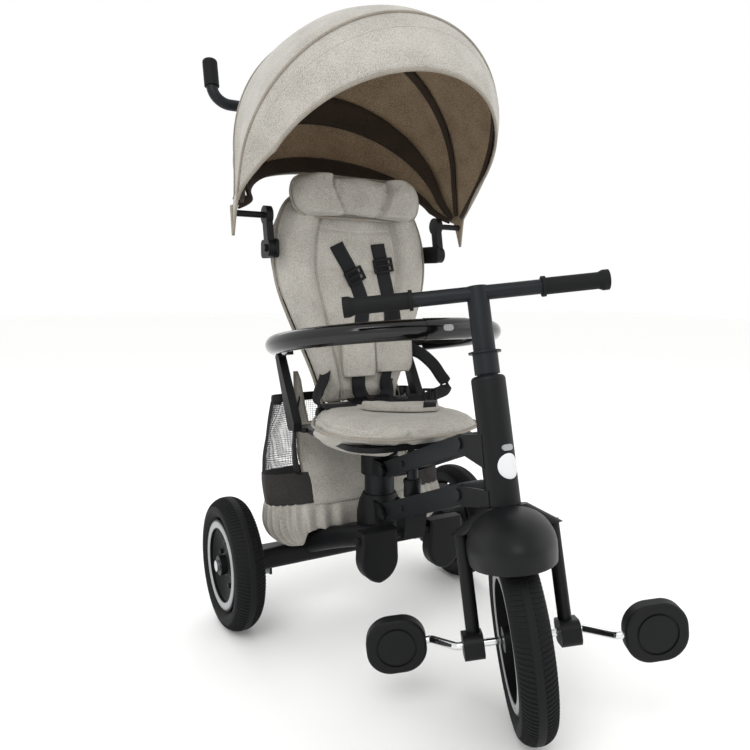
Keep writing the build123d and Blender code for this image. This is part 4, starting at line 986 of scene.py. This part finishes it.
def smooth_line(points, step):
    """Points at an even step along a smooth curve through the given ones."""
    points = [Vector(p) for p in points]
    dense = []
    for k in range(len(points) - 1):
        p0, p1, p2, p3 = points[max(k - 1, 0)], points[k], points[k + 1], points[min(k + 2, len(points) - 1)]
        for j in range(12):
            t = j / 12
            dense.append(0.5 * (2 * p1 + (p2 - p0) * t + (2 * p0 - 5 * p1 + 4 * p2 - p3) * t * t
                                + (3 * p1 - p0 - 3 * p2 + p3) * t ** 3))
    dense.append(points[-1])
    out, walked = [dense[0]], 0.0
    for a, b in zip(dense, dense[1:]):
        walked += (b - a).length
        if walked >= step:
            out.append(b)
            walked = 0.0
    if (out[-1] - dense[-1]).length > step * 0.3:
        out.append(dense[-1])
    return out


def strip(name, rows, thickness, material, out):
    """A band of webbing or cloth from rows of points across it; out is the side that shows."""
    made = piece(name, [v for row in rows for v in row], grid(len(rows), len(rows[0])), material)
    facing = sum((p.normal for p in made.data.polygons), Vector())
    if facing.dot(out) < 0:
        made.data.flip_normals()
    thickened(made, thickness, offset=0)
    return made


def laid_strap(name, surface, matrix, line, width, lift):
    """Webbing that lies on a pad and follows it."""
    path = smooth_line(line, 4.0)
    rows = []
    for k, spot in enumerate(path):
        along = (path[min(k + 1, len(path) - 1)] - path[max(k - 1, 0)]).normalized()
        across = Vector((along.y, -along.x))
        rows.append([laid(surface, matrix, *(spot + across * width * (j / 6 - 0.5)), lift) for j in range(7)])
    out = matrix.to_3x3() @ Vector((0, 0, 1))
    for sweep in range(2):                      # webbing bridges small hollows
        rows = [[(rows[max(k - 1, 0)][j] + rows[k][j] + rows[min(k + 1, len(rows) - 1)][j]) / 3 for j in range(7)]
                for k in range(len(rows))]
    return strip(name, rows, WEB_THICK, webbing, out)


def free_strap(name, points, width, sideways):
    """Webbing in the air through points in metres; sideways(k) gives the direction across it."""
    path = smooth_line(points, 0.004)
    rows = []
    for k, spot in enumerate(path):
        along = (path[min(k + 1, len(path) - 1)] - path[max(k - 1, 0)]).normalized()
        across = sideways(k / (len(path) - 1))
        across = (across - along * across.dot(along)).normalized()
        rows.append([spot + across * width / 1000 * (j / 4 - 0.5) for j in range(5)])
    return strip(name, rows, WEB_THICK, webbing, Vector((-0.3, -1, 0.2)))


def block(name, matrix, size, radius=1.2):
    """A moulded nylon block with rounded edges, size in mm, placed by a matrix."""
    work = bmesh.new()
    bmesh.ops.create_cube(work, size=1.0)
    bmesh.ops.scale(work, verts=work.verts, vec=[s / 1000 for s in size])
    bmesh.ops.bevel(work, geom=work.edges[:], offset=radius / 1000, segments=3, profile=0.5, affect="EDGES")
    bmesh.ops.transform(work, matrix=matrix, verts=work.verts)
    mesh = bpy.data.meshes.new(name)
    work.to_mesh(mesh)
    work.free()
    for face in mesh.polygons:
        face.use_smooth = True
    mesh.materials.append(black_plastic)
    return shown(name, mesh)


def slider(name, matrix, width, high):
    """A three-bar slider: two side rails and three cross bars, moulded in one."""
    parts = []
    for k, side in enumerate((-1, 1)):
        parts.append(block(f"{name}_rail_{k}", matrix @ Matrix.Translation((side * (width / 2 + 2.4) / 1000, 0, 0)),
                           (4.0, high, 4.6)))
    for k, at in enumerate((-high / 2 + 2, 0, high / 2 - 2)):
        parts.append(block(f"{name}_bar_{k}", matrix @ Matrix.Translation((0, at / 1000, 0.0012)),
                           (width + 6, 4.4, 4.0)))
    return joined(name, parts)


back_surface, seat_surface = surface_of(backrest), surface_of(seat)


def over_back(x, y, lift, turn):
    """A matrix on the backrest's face at (x, y), its Y axis turned by degrees in the face's plane."""
    spot = laid(back_surface, BACK_MATRIX, x, y, lift)
    return Matrix.Translation(spot) @ BACK_MATRIX.to_3x3().to_4x4() @ Matrix.Rotation(radians(turn), 4, "Z")


for side, (width, line) in SHOULDER_LINES.items():
    strap = laid_strap(f"{side}_shoulder_strap", back_surface, BACK_MATRIX, line, width, 1.4)
    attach(strap, "backrest")
    if side == "right":
        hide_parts("shoulder_harness")
for side, x, y, turn, width in (("right", -8, 207, 27, 27), ("left", 48, 226, 10, 29)):
    clip = slider(f"{side}_shoulder_slider", over_back(x, y, 3.6, turn), width, 25)
    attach(clip, "backrest")


def height_over(surface, matrix, x, y):
    """How far the pad's face stands above its plane at (x, y), in mm."""
    return (matrix.inverted() @ laid(surface, matrix, x, y, 0)).z * 1000


# Shoulder pads: two layers of the cushion cloth over thin foam, edged, flat under the chest
for side, x, half, low, high in (("right", -8, 31, 34, 116), ("left", 58, 32, 40, 112)):
    matrix = BACK_MATRIX @ Matrix.Translation((x / 1000, 0, 0))

    def pad_half(y, low=low, high=high, half=half):
        return half * (1 - 0.10 * max(0.0, (low + 14 - y) / 14) ** 2 - 0.05 * max(0.0, (y - high + 14) / 14) ** 2)

    def pad_seam(s, y, x=x, half=half):
        middle = height_over(back_surface, BACK_MATRIX, x + 0.45 * half * s, y)
        return max(middle, height_over(back_surface, BACK_MATRIX, x + half * s, y) - 3) + 3.0

    def pad_front(s, y):
        return 8.0 + 0.8 * noise.noise(Vector((s * 2, y / 22, x / 10)))

    pad = cushion(f"{side}_shoulder_pad", matrix, low, high, pad_half, pad_front, lambda s, y: 1.6, pad_seam,
                  across=30, along=34)
    for edge in (-1, 1):
        sewn(pad, matrix, [[(edge * (half - 5.5), y) for y in range(low, high, 8)]], 1.6, 1.8)
    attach(pad, "backrest")
    points = []
    for way in (1, -1):
        for k in range(21):
            y = low + (high - low) * (k / 20 if way > 0 else 1 - k / 20)
            points.append(on_pad(matrix, way * (pad_half(y) + 0.4), y, pad_seam(way, y) + 0.8))
    edging = tube_along(f"{side}_shoulder_pad_edging", points, 0.0013, piping_cloth, closed=True)
    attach(edging, "backrest")

# Strap ends below the pads hang down to the buckle behind the seat
for side, top, middle, foot in (("right", (-8, 46), (-11, 22), (2, 151, 370)),
                                ("left", (52, 50), (44, 22), (36, 148, 370))):
    points = [laid(back_surface, BACK_MATRIX, *top, 2.5), laid(back_surface, BACK_MATRIX, *middle, 4.5),
              laid(back_surface, BACK_MATRIX, middle[0] + 4, 6, 5.0), Vector(foot) / 1000]
    tail = free_strap(f"{side}_strap_tail", points, 25, lambda t: Vector((1, 0, 0)))
    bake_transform(tail)

# Buckle: a flat nylon body with a round press button, and the two tongues that plug into it
buckle_at = Matrix.Translation((0.018, 0.134, 0.3735)) @ Matrix.Rotation(radians(-8), 4,
                                                                         "Z") @ Matrix.Rotation(radians(14), 4, "X")
parts = [block(f"buckle_{name}", buckle_at @ Matrix.Translation(shift), size, radius) for name, shift, size, radius in (
    ("body", (0, 0, 0), (48, 34, 11), 4.0),
    ("right_tongue", (-0.032, 0.002, 0), (22, 24, 6), 2.0),
    ("left_tongue", (0.033, 0.001, 0), (24, 24, 6), 2.0),
    ("left_loop", (0.050, 0, 0), (10, 28, 5), 1.6),
    ("right_loop", (-0.048, 0, 0), (10, 28, 5), 1.6),
)]
out = buckle_at.to_3x3() @ Vector((0, 0, 1))
parts.append(turned("buckle_button", [(0, 5.0), (9.0, 5.0), (9.0, 6.0), (8.2, 6.8), (6, 6.4), (0, 6.2)],
                    buckle_at.translation, out, black_plastic, steps=32,
                    closed=False))
clasp = joined("harness_buckle", parts)
bend_normals(clasp, 40)
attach(clasp, "rear_frame")
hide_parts("buckle")

# Waist straps: the left one stands out in a loop with a fold, the right one lies curled beside the pad
LEFT_WAIST = [(0.098, 0.176, 0.458), (0.118, 0.163, 0.450), (0.135, 0.146, 0.431), (0.143, 0.131, 0.411),
              (0.148, 0.121, 0.398), (0.138, 0.112, 0.387),
              (0.116, 0.107, 0.382), (0.096, 0.099, 0.378), (0.082, 0.108, 0.375), (0.070, 0.125, 0.373)]
RIGHT_WAIST = [(-0.062, 0.176, 0.455), (-0.068, 0.163, 0.436), (-0.076, 0.152, 0.415), (-0.090, 0.141, 0.396),
               (-0.096, 0.130, 0.382), (-0.088, 0.123, 0.373),
               (-0.062, 0.124, 0.371), (-0.032, 0.130, 0.372)]
left_strap = free_strap("left_waist_strap", LEFT_WAIST, 22,
                        lambda t: (Vector((0.35, -0.2, 0.75)) if t < 0.5 else Vector((0.3, 0.65, 0.75))))
right_strap = free_strap("right_waist_strap", RIGHT_WAIST, 20,
                         lambda t: Vector((-0.35, 0.80, 0.45)).lerp(Vector((0.1, 0.95, 0.25)), t))
for strap, line in ((left_strap, LEFT_WAIST), (right_strap, RIGHT_WAIST)):
    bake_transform(strap)
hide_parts("seat_harness")
waist_clip = slider("left_waist_slider",
                    Matrix.Translation((0.101, 0.101, 0.3815)) @ Matrix.Rotation(radians(62), 4,
                                                                                 "Z") @ Matrix.Rotation(radians(-38),
                                                                                                        4, "Y"), 23, 24)
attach(waist_clip, "rear_frame")

# Crotch pad: a folded tongue of the cushion cloth lying across the seat, its strap showing at the open end
CROTCH_TURN = -127.5
crotch_matrix = SEAT_MATRIX @ Matrix.Translation((0.014, 0.053, 0)) @ Matrix.Rotation(radians(CROTCH_TURN), 4, "Z")


def crotch_half(y):
    return smooth_curve(y, [(-62, 9), (-52, 15), (-30, 19), (20, 20), (50, 19), (62, 16)])


def crotch_seam(s, y):
    return height_over(seat_surface, crotch_matrix, 0.5 * s * crotch_half(y), y) + 3.5


def crotch_front(s, y):
    fold = 2.6 * exp(-((s + 0.35) / 0.16) ** 2)
    return 10.5 - fold + 1.2 * noise.noise(Vector((s * 2, y / 18, 4.4)))


crotch_pad = cushion("crotch_pad", crotch_matrix, -62, 62, crotch_half, crotch_front, lambda s, y: 2.5, crotch_seam,
                     across=30, along=44)
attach(crotch_pad, "rear_frame")
pad_surface = surface_of(crotch_pad)
rows = []
for y in (40 + 3.4 * k for k in range(7)):
    rows.append([laid(pad_surface, crotch_matrix, (s / 8 * 2 - 1) * (crotch_half(y) - 0.5), y, 1.3) for s in range(9)])
crotch_strap = strip("crotch_strap", rows, WEB_THICK, webbing, Vector((0, 0, 1)))
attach(crotch_strap, "rear_frame")

# ---------------------------------------------------------------- storage bag
# A bag hung behind and below the seat: a gathered bottom of melange cloth, a dark band with a stitched oval,
# knotted net round the sides and back, bound along the top, and a cloth panel in front.

BAG_FRONT = [(126, 152), (134, 148), (205, 150), (250, 174), (292, 199), (360, 214), (430, 232)]
BAG_REAR = [(126, 211), (134, 214), (230, 228), (330, 243), (392, 256)]
BAG_HALF = [(126, 136), (140, 150), (165, 161), (200, 165), (250, 166), (330, 151), (372, 135), (392, 120)]
SEAM_Z, BAND_Z, RIM_Z = 206.0, 252.0, 372.0     # mm: bottom seam, top of the band, rim
PANEL_HALF = 104.0                              # mm, half of the front panel
PLEATS = 34

# Band cloth: charcoal polyester canvas, matt
band_cloth = woven("charcoal_canvas", "#3d3b39", "#302e2d", "#242322", 1.2, 0.2, 0.1)
# Net: knotted black polyester cord, drawn 0.9 mm thick on a mesh of about 3.6 mm so that it shows
net_cord = even("black_polyester_net", "#1d1d1f", 0.6, 0.6, 0.05)


def on_bag(turn, z, proud=0.0):
    """A point of the bag at an angle round it (0 faces forward) and a height in mm."""
    front, rear, half = smooth_curve(z, BAG_FRONT), smooth_curve(z, BAG_REAR), smooth_curve(z, BAG_HALF)
    s, c = sin(turn), cos(turn)
    x = (half + proud) * (abs(s) ** 0.62) * (1 if s > 0 else -1)
    y = (front + rear) / 2 - ((rear - front) / 2 + proud) * (abs(c) ** 0.62) * (1 if c > 0 else -1)
    return Vector((x, y, z))


def ringed(name, rows, material, closed=True):
    """A sheet from rows of points round the bag."""
    made = piece(name, [v / 1000 for row in rows for v in row], grid(len(rows), len(rows[0]), ring=closed), material)
    centre = Vector((0, 0.19, 0.25))
    if sum((p.normal.dot(p.center - centre) for p in made.data.polygons)) < 0:
        made.data.flip_normals()
    return made


def walled(shape, thickness):
    """A sheet of the bag with its cloth's thickness in mm, on the rear frame."""
    thickened(shape, thickness)
    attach(shape, "rear_frame")
    return shape


# Gathered bottom: pleats run down from the seam and under, and the cloth lifts over the axle housing
rows = []
AROUND = 300
for k in range(19):
    t = k / 18
    z = SEAM_Z - (SEAM_Z - 131) * t ** 0.9
    row = []
    for j in range(AROUND):
        turn = 2 * pi * j / AROUND
        phase = PLEATS * turn + 2.6 * noise.noise(Vector((sin(turn) * 2.2, cos(turn) * 2.2, 0.7)))
        deepest = 6.4 + 3.0 * noise.noise(Vector((sin(turn) * 5, cos(turn) * 5, 4.0)))
        depth = deepest * sin(pi * min(1.0, 0.12 + t * 0.95)) ** 0.7
        row.append(on_bag(turn, z, 5.0 * sin(pi * t) ** 0.6 - 4.0 * t ** 3 + depth * sin(phase) * (0.35 + 0.65 * t)))
    rows.append(row)
for k in range(1, 9):
    t = k / 8
    rows.append([Vector((edge.x * (1 - 0.93 * t), 181 + (edge.y - 181) * (1 - 0.97 * t),
                         edge.z - 4 * sin(pi * t) * 0.5))
                 for edge in rows[18]])
for row in rows:
    for spot in row:
        over = min(1.0, max(0.0, (112 - abs(spot.x)) / 8)) * min(1.0, max(0.0, (192 - spot.y) / 8))
        spot.z = spot.z + over * max(0.0, 159 - spot.z)
bag_bottom = walled(ringed("bag_gathered_bottom", rows, melange), 1.4)
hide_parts("storage_bag")

# Dark band, with the oval worked into its front corner on each side
rows = []
for k in range(13):
    z = SEAM_Z - 1 + (BAND_Z - SEAM_Z + 2) * k / 12
    row = []
    for j in range(AROUND):
        turn = 2 * pi * j / AROUND
        spot = on_bag(turn, z, 1.0)
        along = (abs(turn if turn < pi else turn - 2 * pi) - 1.02) * 95
        ring = sqrt((along / 24) ** 2 + ((z - 229) / 16) ** 2)
        lift = 1.4 * exp(-((ring - 1) / 0.13) ** 2) + (0.8 if ring < 1 else 0.0)
        row.append(on_bag(turn, z, 1.0 + lift + 1.2 * noise.noise(spot / 30)))
    rows.append(row)
bag_band = walled(ringed("bag_dark_band", rows, band_cloth), 1.2)

# Net: from one edge of the front panel round the back to the other
TURN_FROM = 0.52
NET_COLUMNS, NET_ROWS = 172, 34
rows = []
for k in range(NET_ROWS + 1):
    z = BAND_Z - 2 + (RIM_Z - BAND_Z) * k / NET_ROWS
    row = []
    for j in range(NET_COLUMNS + 1):
        turn = TURN_FROM + (2 * pi - 2 * TURN_FROM) * j / NET_COLUMNS
        sway = (3.0 * noise.noise(Vector((turn * 1.7, z / 45, 2.0)))
                - 4.0 * sin(pi * k / NET_ROWS) * (0.5 + 0.5 * sin(turn * 7)))
        row.append(on_bag(turn, z + 1.5 * noise.noise(Vector((turn * 3, z / 30, 8.0))), sway))
    rows.append(row)
net = ringed("bag_net", rows, net_cord, closed=False)
cords = net.modifiers.new("cords", "WIREFRAME")
cords.thickness = 0.0009
cords.use_even_offset = False
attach(net, "rear_frame")


def bag_binding(name, spots, width):
    """A folded tape along an edge of the net."""
    line = smooth_line([s / 1000 for s in spots], 0.006)
    rows = []
    for k, spot in enumerate(line):
        out = Vector((spot.x, spot.y - 0.19, 0)).normalized()
        along = (line[min(k + 1, len(line) - 1)] - line[max(k - 1, 0)]).normalized()
        across = along.cross(out).normalized()
        rows.append([spot + across * width / 1000 * (j / 4 - 0.5) + out * 0.0012 * (1 - (j / 2 - 1) ** 2)
                     for j in range(5)])
    tape = strip(name, rows, 1.6, webbing, Vector((-0.3, -1, 0)))
    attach(tape, "rear_frame")
    return tape


rim_spots = [on_bag(TURN_FROM + (2 * pi - 2 * TURN_FROM) * j / 60, RIM_Z, 0.5) for j in range(61)]
bindings = [bag_binding("bag_rim_binding", rim_spots, 15)]
for k, turn in enumerate((TURN_FROM + 0.06, 2 * pi - TURN_FROM - 0.06)):
    bindings.append(bag_binding(f"bag_side_binding_{k}",
                                [on_bag(turn, BAND_Z + (RIM_Z + 4 - BAND_Z) * j / 12, 1.5) for j in range(13)], 22))

# Front panel: cloth edged with piping; its two upper corners stand up beside the backrest
rows = []
for k in range(25):
    row = []
    for j in range(41):
        s = j / 40 * 2 - 1
        top = 334 + 86 * min(1.0, max(0.0, (abs(s) - 0.80) / 0.12))
        z = SEAM_Z - 4 + (top - SEAM_Z + 4) * k / 24
        flare = 6 * max(0.0, z - 360) / 60
        back = (smooth_curve(z, BAG_FRONT) - 5.0 + 1.5 * noise.noise(Vector((s * 2, z / 40, 6.0)))
                + 9 * abs(s) ** 5 * (1 if z < 290 else 0.4))
        row.append(Vector((s * (PANEL_HALF - flare), back, z)))
    rows.append(row)
bag_panel = piece("bag_front_panel", [v / 1000 for row in rows for v in row], grid(25, 41), melange)
if sum((p.normal for p in bag_panel.data.polygons), Vector()).y > 0:
    bag_panel.data.flip_normals()
walled(bag_panel, 1.4)
edge_line = [row[0] / 1000 for row in rows] + [v / 1000 for v in rows[-1][1:-1]] + [row[-1] / 1000
                                                                                    for row in reversed(rows)]
panel_edging = tube_along("bag_panel_edging", edge_line, 0.0019, piping_cloth)
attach(panel_edging, "rear_frame")

# ---------------------------------------------------------------- stitches
# Lockstitch along the cushions, the visor, the rear gore and the bag's panel, in thread a little lighter
# than the cloth. Each visible stitch is one short length of thread.

# Sewing thread: spun polyester, slightly glossy
thread = even("light_grey_polyester_thread", "#c9c4ba", 0.5, 0.5, 0.03)
STITCH_PITCH, STITCH_LONG, STITCH_RADIUS = 3.6, 2.5, 0.36       # mm


def stitched(name, lines, body):
    """Rows of stitches along lines, repeated with Geometry Nodes and baked to one mesh."""
    mesh = bpy.data.meshes.new(name)
    verts, edges = [], []
    for line in lines:
        base = len(verts)
        verts += [tuple(v) for v in line]
        edges += [(base + k, base + k + 1) for k in range(len(line) - 1)]
    mesh.from_pydata(verts, edges, [])
    made = shown(name, mesh)
    tree = bpy.data.node_groups.new("stitches", "GeometryNodeTree")
    tree.interface.new_socket("Lines", in_out="INPUT", socket_type="NodeSocketGeometry")
    sizes = {}
    for label, value in (("Pitch", STITCH_PITCH), ("Length", STITCH_LONG), ("Radius", STITCH_RADIUS)):
        sizes[label] = (tree.interface.new_socket(label, in_out="INPUT", socket_type="NodeSocketFloat"), value / 1000)
    tree.interface.new_socket("Stitches", in_out="OUTPUT", socket_type="NodeSocketGeometry")
    start = node(tree, "NodeGroupInput")
    curve = node(tree, "GeometryNodeMeshToCurve", None, Mesh=start.outputs["Lines"])
    spots = node(tree, "GeometryNodeCurveToPoints", {"mode": "LENGTH"}, Curve=curve.outputs["Curve"],
                 Length=start.outputs["Pitch"])
    thread_piece = node(tree, "GeometryNodeMeshCylinder", None, Vertices=6, Radius=start.outputs["Radius"],
                        Depth=start.outputs["Length"])
    copies = node(tree, "GeometryNodeInstanceOnPoints", None, Points=spots.outputs["Points"],
                  Instance=thread_piece.outputs["Mesh"],
                  Rotation=spots.outputs["Rotation"])
    real = node(tree, "GeometryNodeRealizeInstances", None, Geometry=copies.outputs["Instances"])
    coat = node(tree, "GeometryNodeSetMaterial", None, Geometry=real.outputs["Geometry"], Material=thread)
    finish = node(tree, "NodeGroupOutput")
    tree.links.new(coat.outputs["Geometry"], finish.inputs[0])
    modifier = made.modifiers.new("stitches", "NODES")
    modifier.node_group = tree
    for socket, value in sizes.values():
        modifier[socket.identifier] = value
    baked = evaluated(made)
    made.modifiers.clear()
    made.data = baked
    bpy.data.node_groups.remove(tree)
    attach(made, body)


back_lines = []
for way in (-1, 1):
    back_lines.append([laid(back_surface, BACK_MATRIX, way * (smooth_curve(y, ROLL_START) * back_half(y) - 5.0), y,
                            0.3) for y in range(4, 330, 8)])
    back_lines.append([laid(back_surface, BACK_MATRIX, way * (back_half(y) - 6.5), y, 0.3) for y in range(10, 326, 8)])
back_lines.append([laid(back_surface, BACK_MATRIX, x, 212 + 4 * (x / 60) ** 2 + 4, 0.3) for x in range(-58, 60, 6)])
back_lines.append([laid(back_surface, BACK_MATRIX, x, 284 + 5 * (x / 66) ** 2, 0.3) for x in range(-62, 64, 6)])
stitched("backrest_stitches", back_lines, "backrest")
seat_lines = [[laid(seat_surface, SEAT_MATRIX, way * (seat_half(y) - 16.5), y, 0.3) for y in range(-40, 124, 6)]
              for way in (-1, 1)]
seat_lines.append([laid(seat_surface, SEAT_MATRIX, x, -52 + 0.0016 * x * x, 0.3) for x in range(-62, 64, 6)])
stitched("seat_stitches", seat_lines, "rear_frame")
panel_lines = [[Vector((side * (PANEL_HALF - 9), smooth_curve(z, BAG_FRONT) - 4.6, z)) / 1000
                for z in range(214, 330, 8)] for side in (-1, 1)]
stitched("bag_panel_stitches", panel_lines, "rear_frame")
stitched("visor_stitches", [[on_hood(43.0, 0.20 + 0.60 * j / 100, -0.9) for j in range(101)]], "canopy_front")
stitched("rear_gore_stitches", [[on_hood(REAR_EDGE + 1.7, 0.06 + 0.88 * j / 100, 0.2) for j in range(101)]],
         "canopy_base")

# ---------------------------------------------------------------- badge
# A plain pale disc of thin plastic on the head's front, bent round the casing and glued on. Its rim is
# rounded.

# Pale grey ABS: smooth and slightly glossy
badge_plastic = moulded("moulded_pale_grey_abs", "#d4d6d7", "#e0e1e2", 0.35, 0.8, 0.01)
STRAIGHT = Vector((0, -cos(RAKE), sin(RAKE)))
CASING_RADIUS, BADGE_RADIUS, BADGE_UP = 22.8, 16.5, 219.0       # mm
BADGE_SIDES = 48
verts = []
rings = [(0.0, 0.9), (0.4, 0.9), (0.8, 0.9), (0.95, 0.8), (1.0, 0.3), (1.0, -1.0)]
for share, lift in rings:
    for k in range(BADGE_SIDES):
        angle = 2 * pi * k / BADGE_SIDES
        bend = share * BADGE_RADIUS * sin(angle) / CASING_RADIUS
        away = CASING_RADIUS + lift
        verts.append(FRONT_HUB + (Vector((1, 0, 0)) * sin(bend) * away + STRAIGHT * cos(bend) * away
                                  + STEER_AXIS * (BADGE_UP + share * BADGE_RADIUS * cos(angle))) / 1000)
faces = grid(len(rings), BADGE_SIDES,
             ring=True) + [tuple(range((len(rings) - 1) * BADGE_SIDES, len(rings) * BADGE_SIDES))]
badge = piece("head_badge", verts, faces, badge_plastic)
bend_normals(badge, 50)
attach(badge, "head")

size = {"cad": [list(corner) for corner in cad_bounds], "visual": [list(corner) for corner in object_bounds()]}
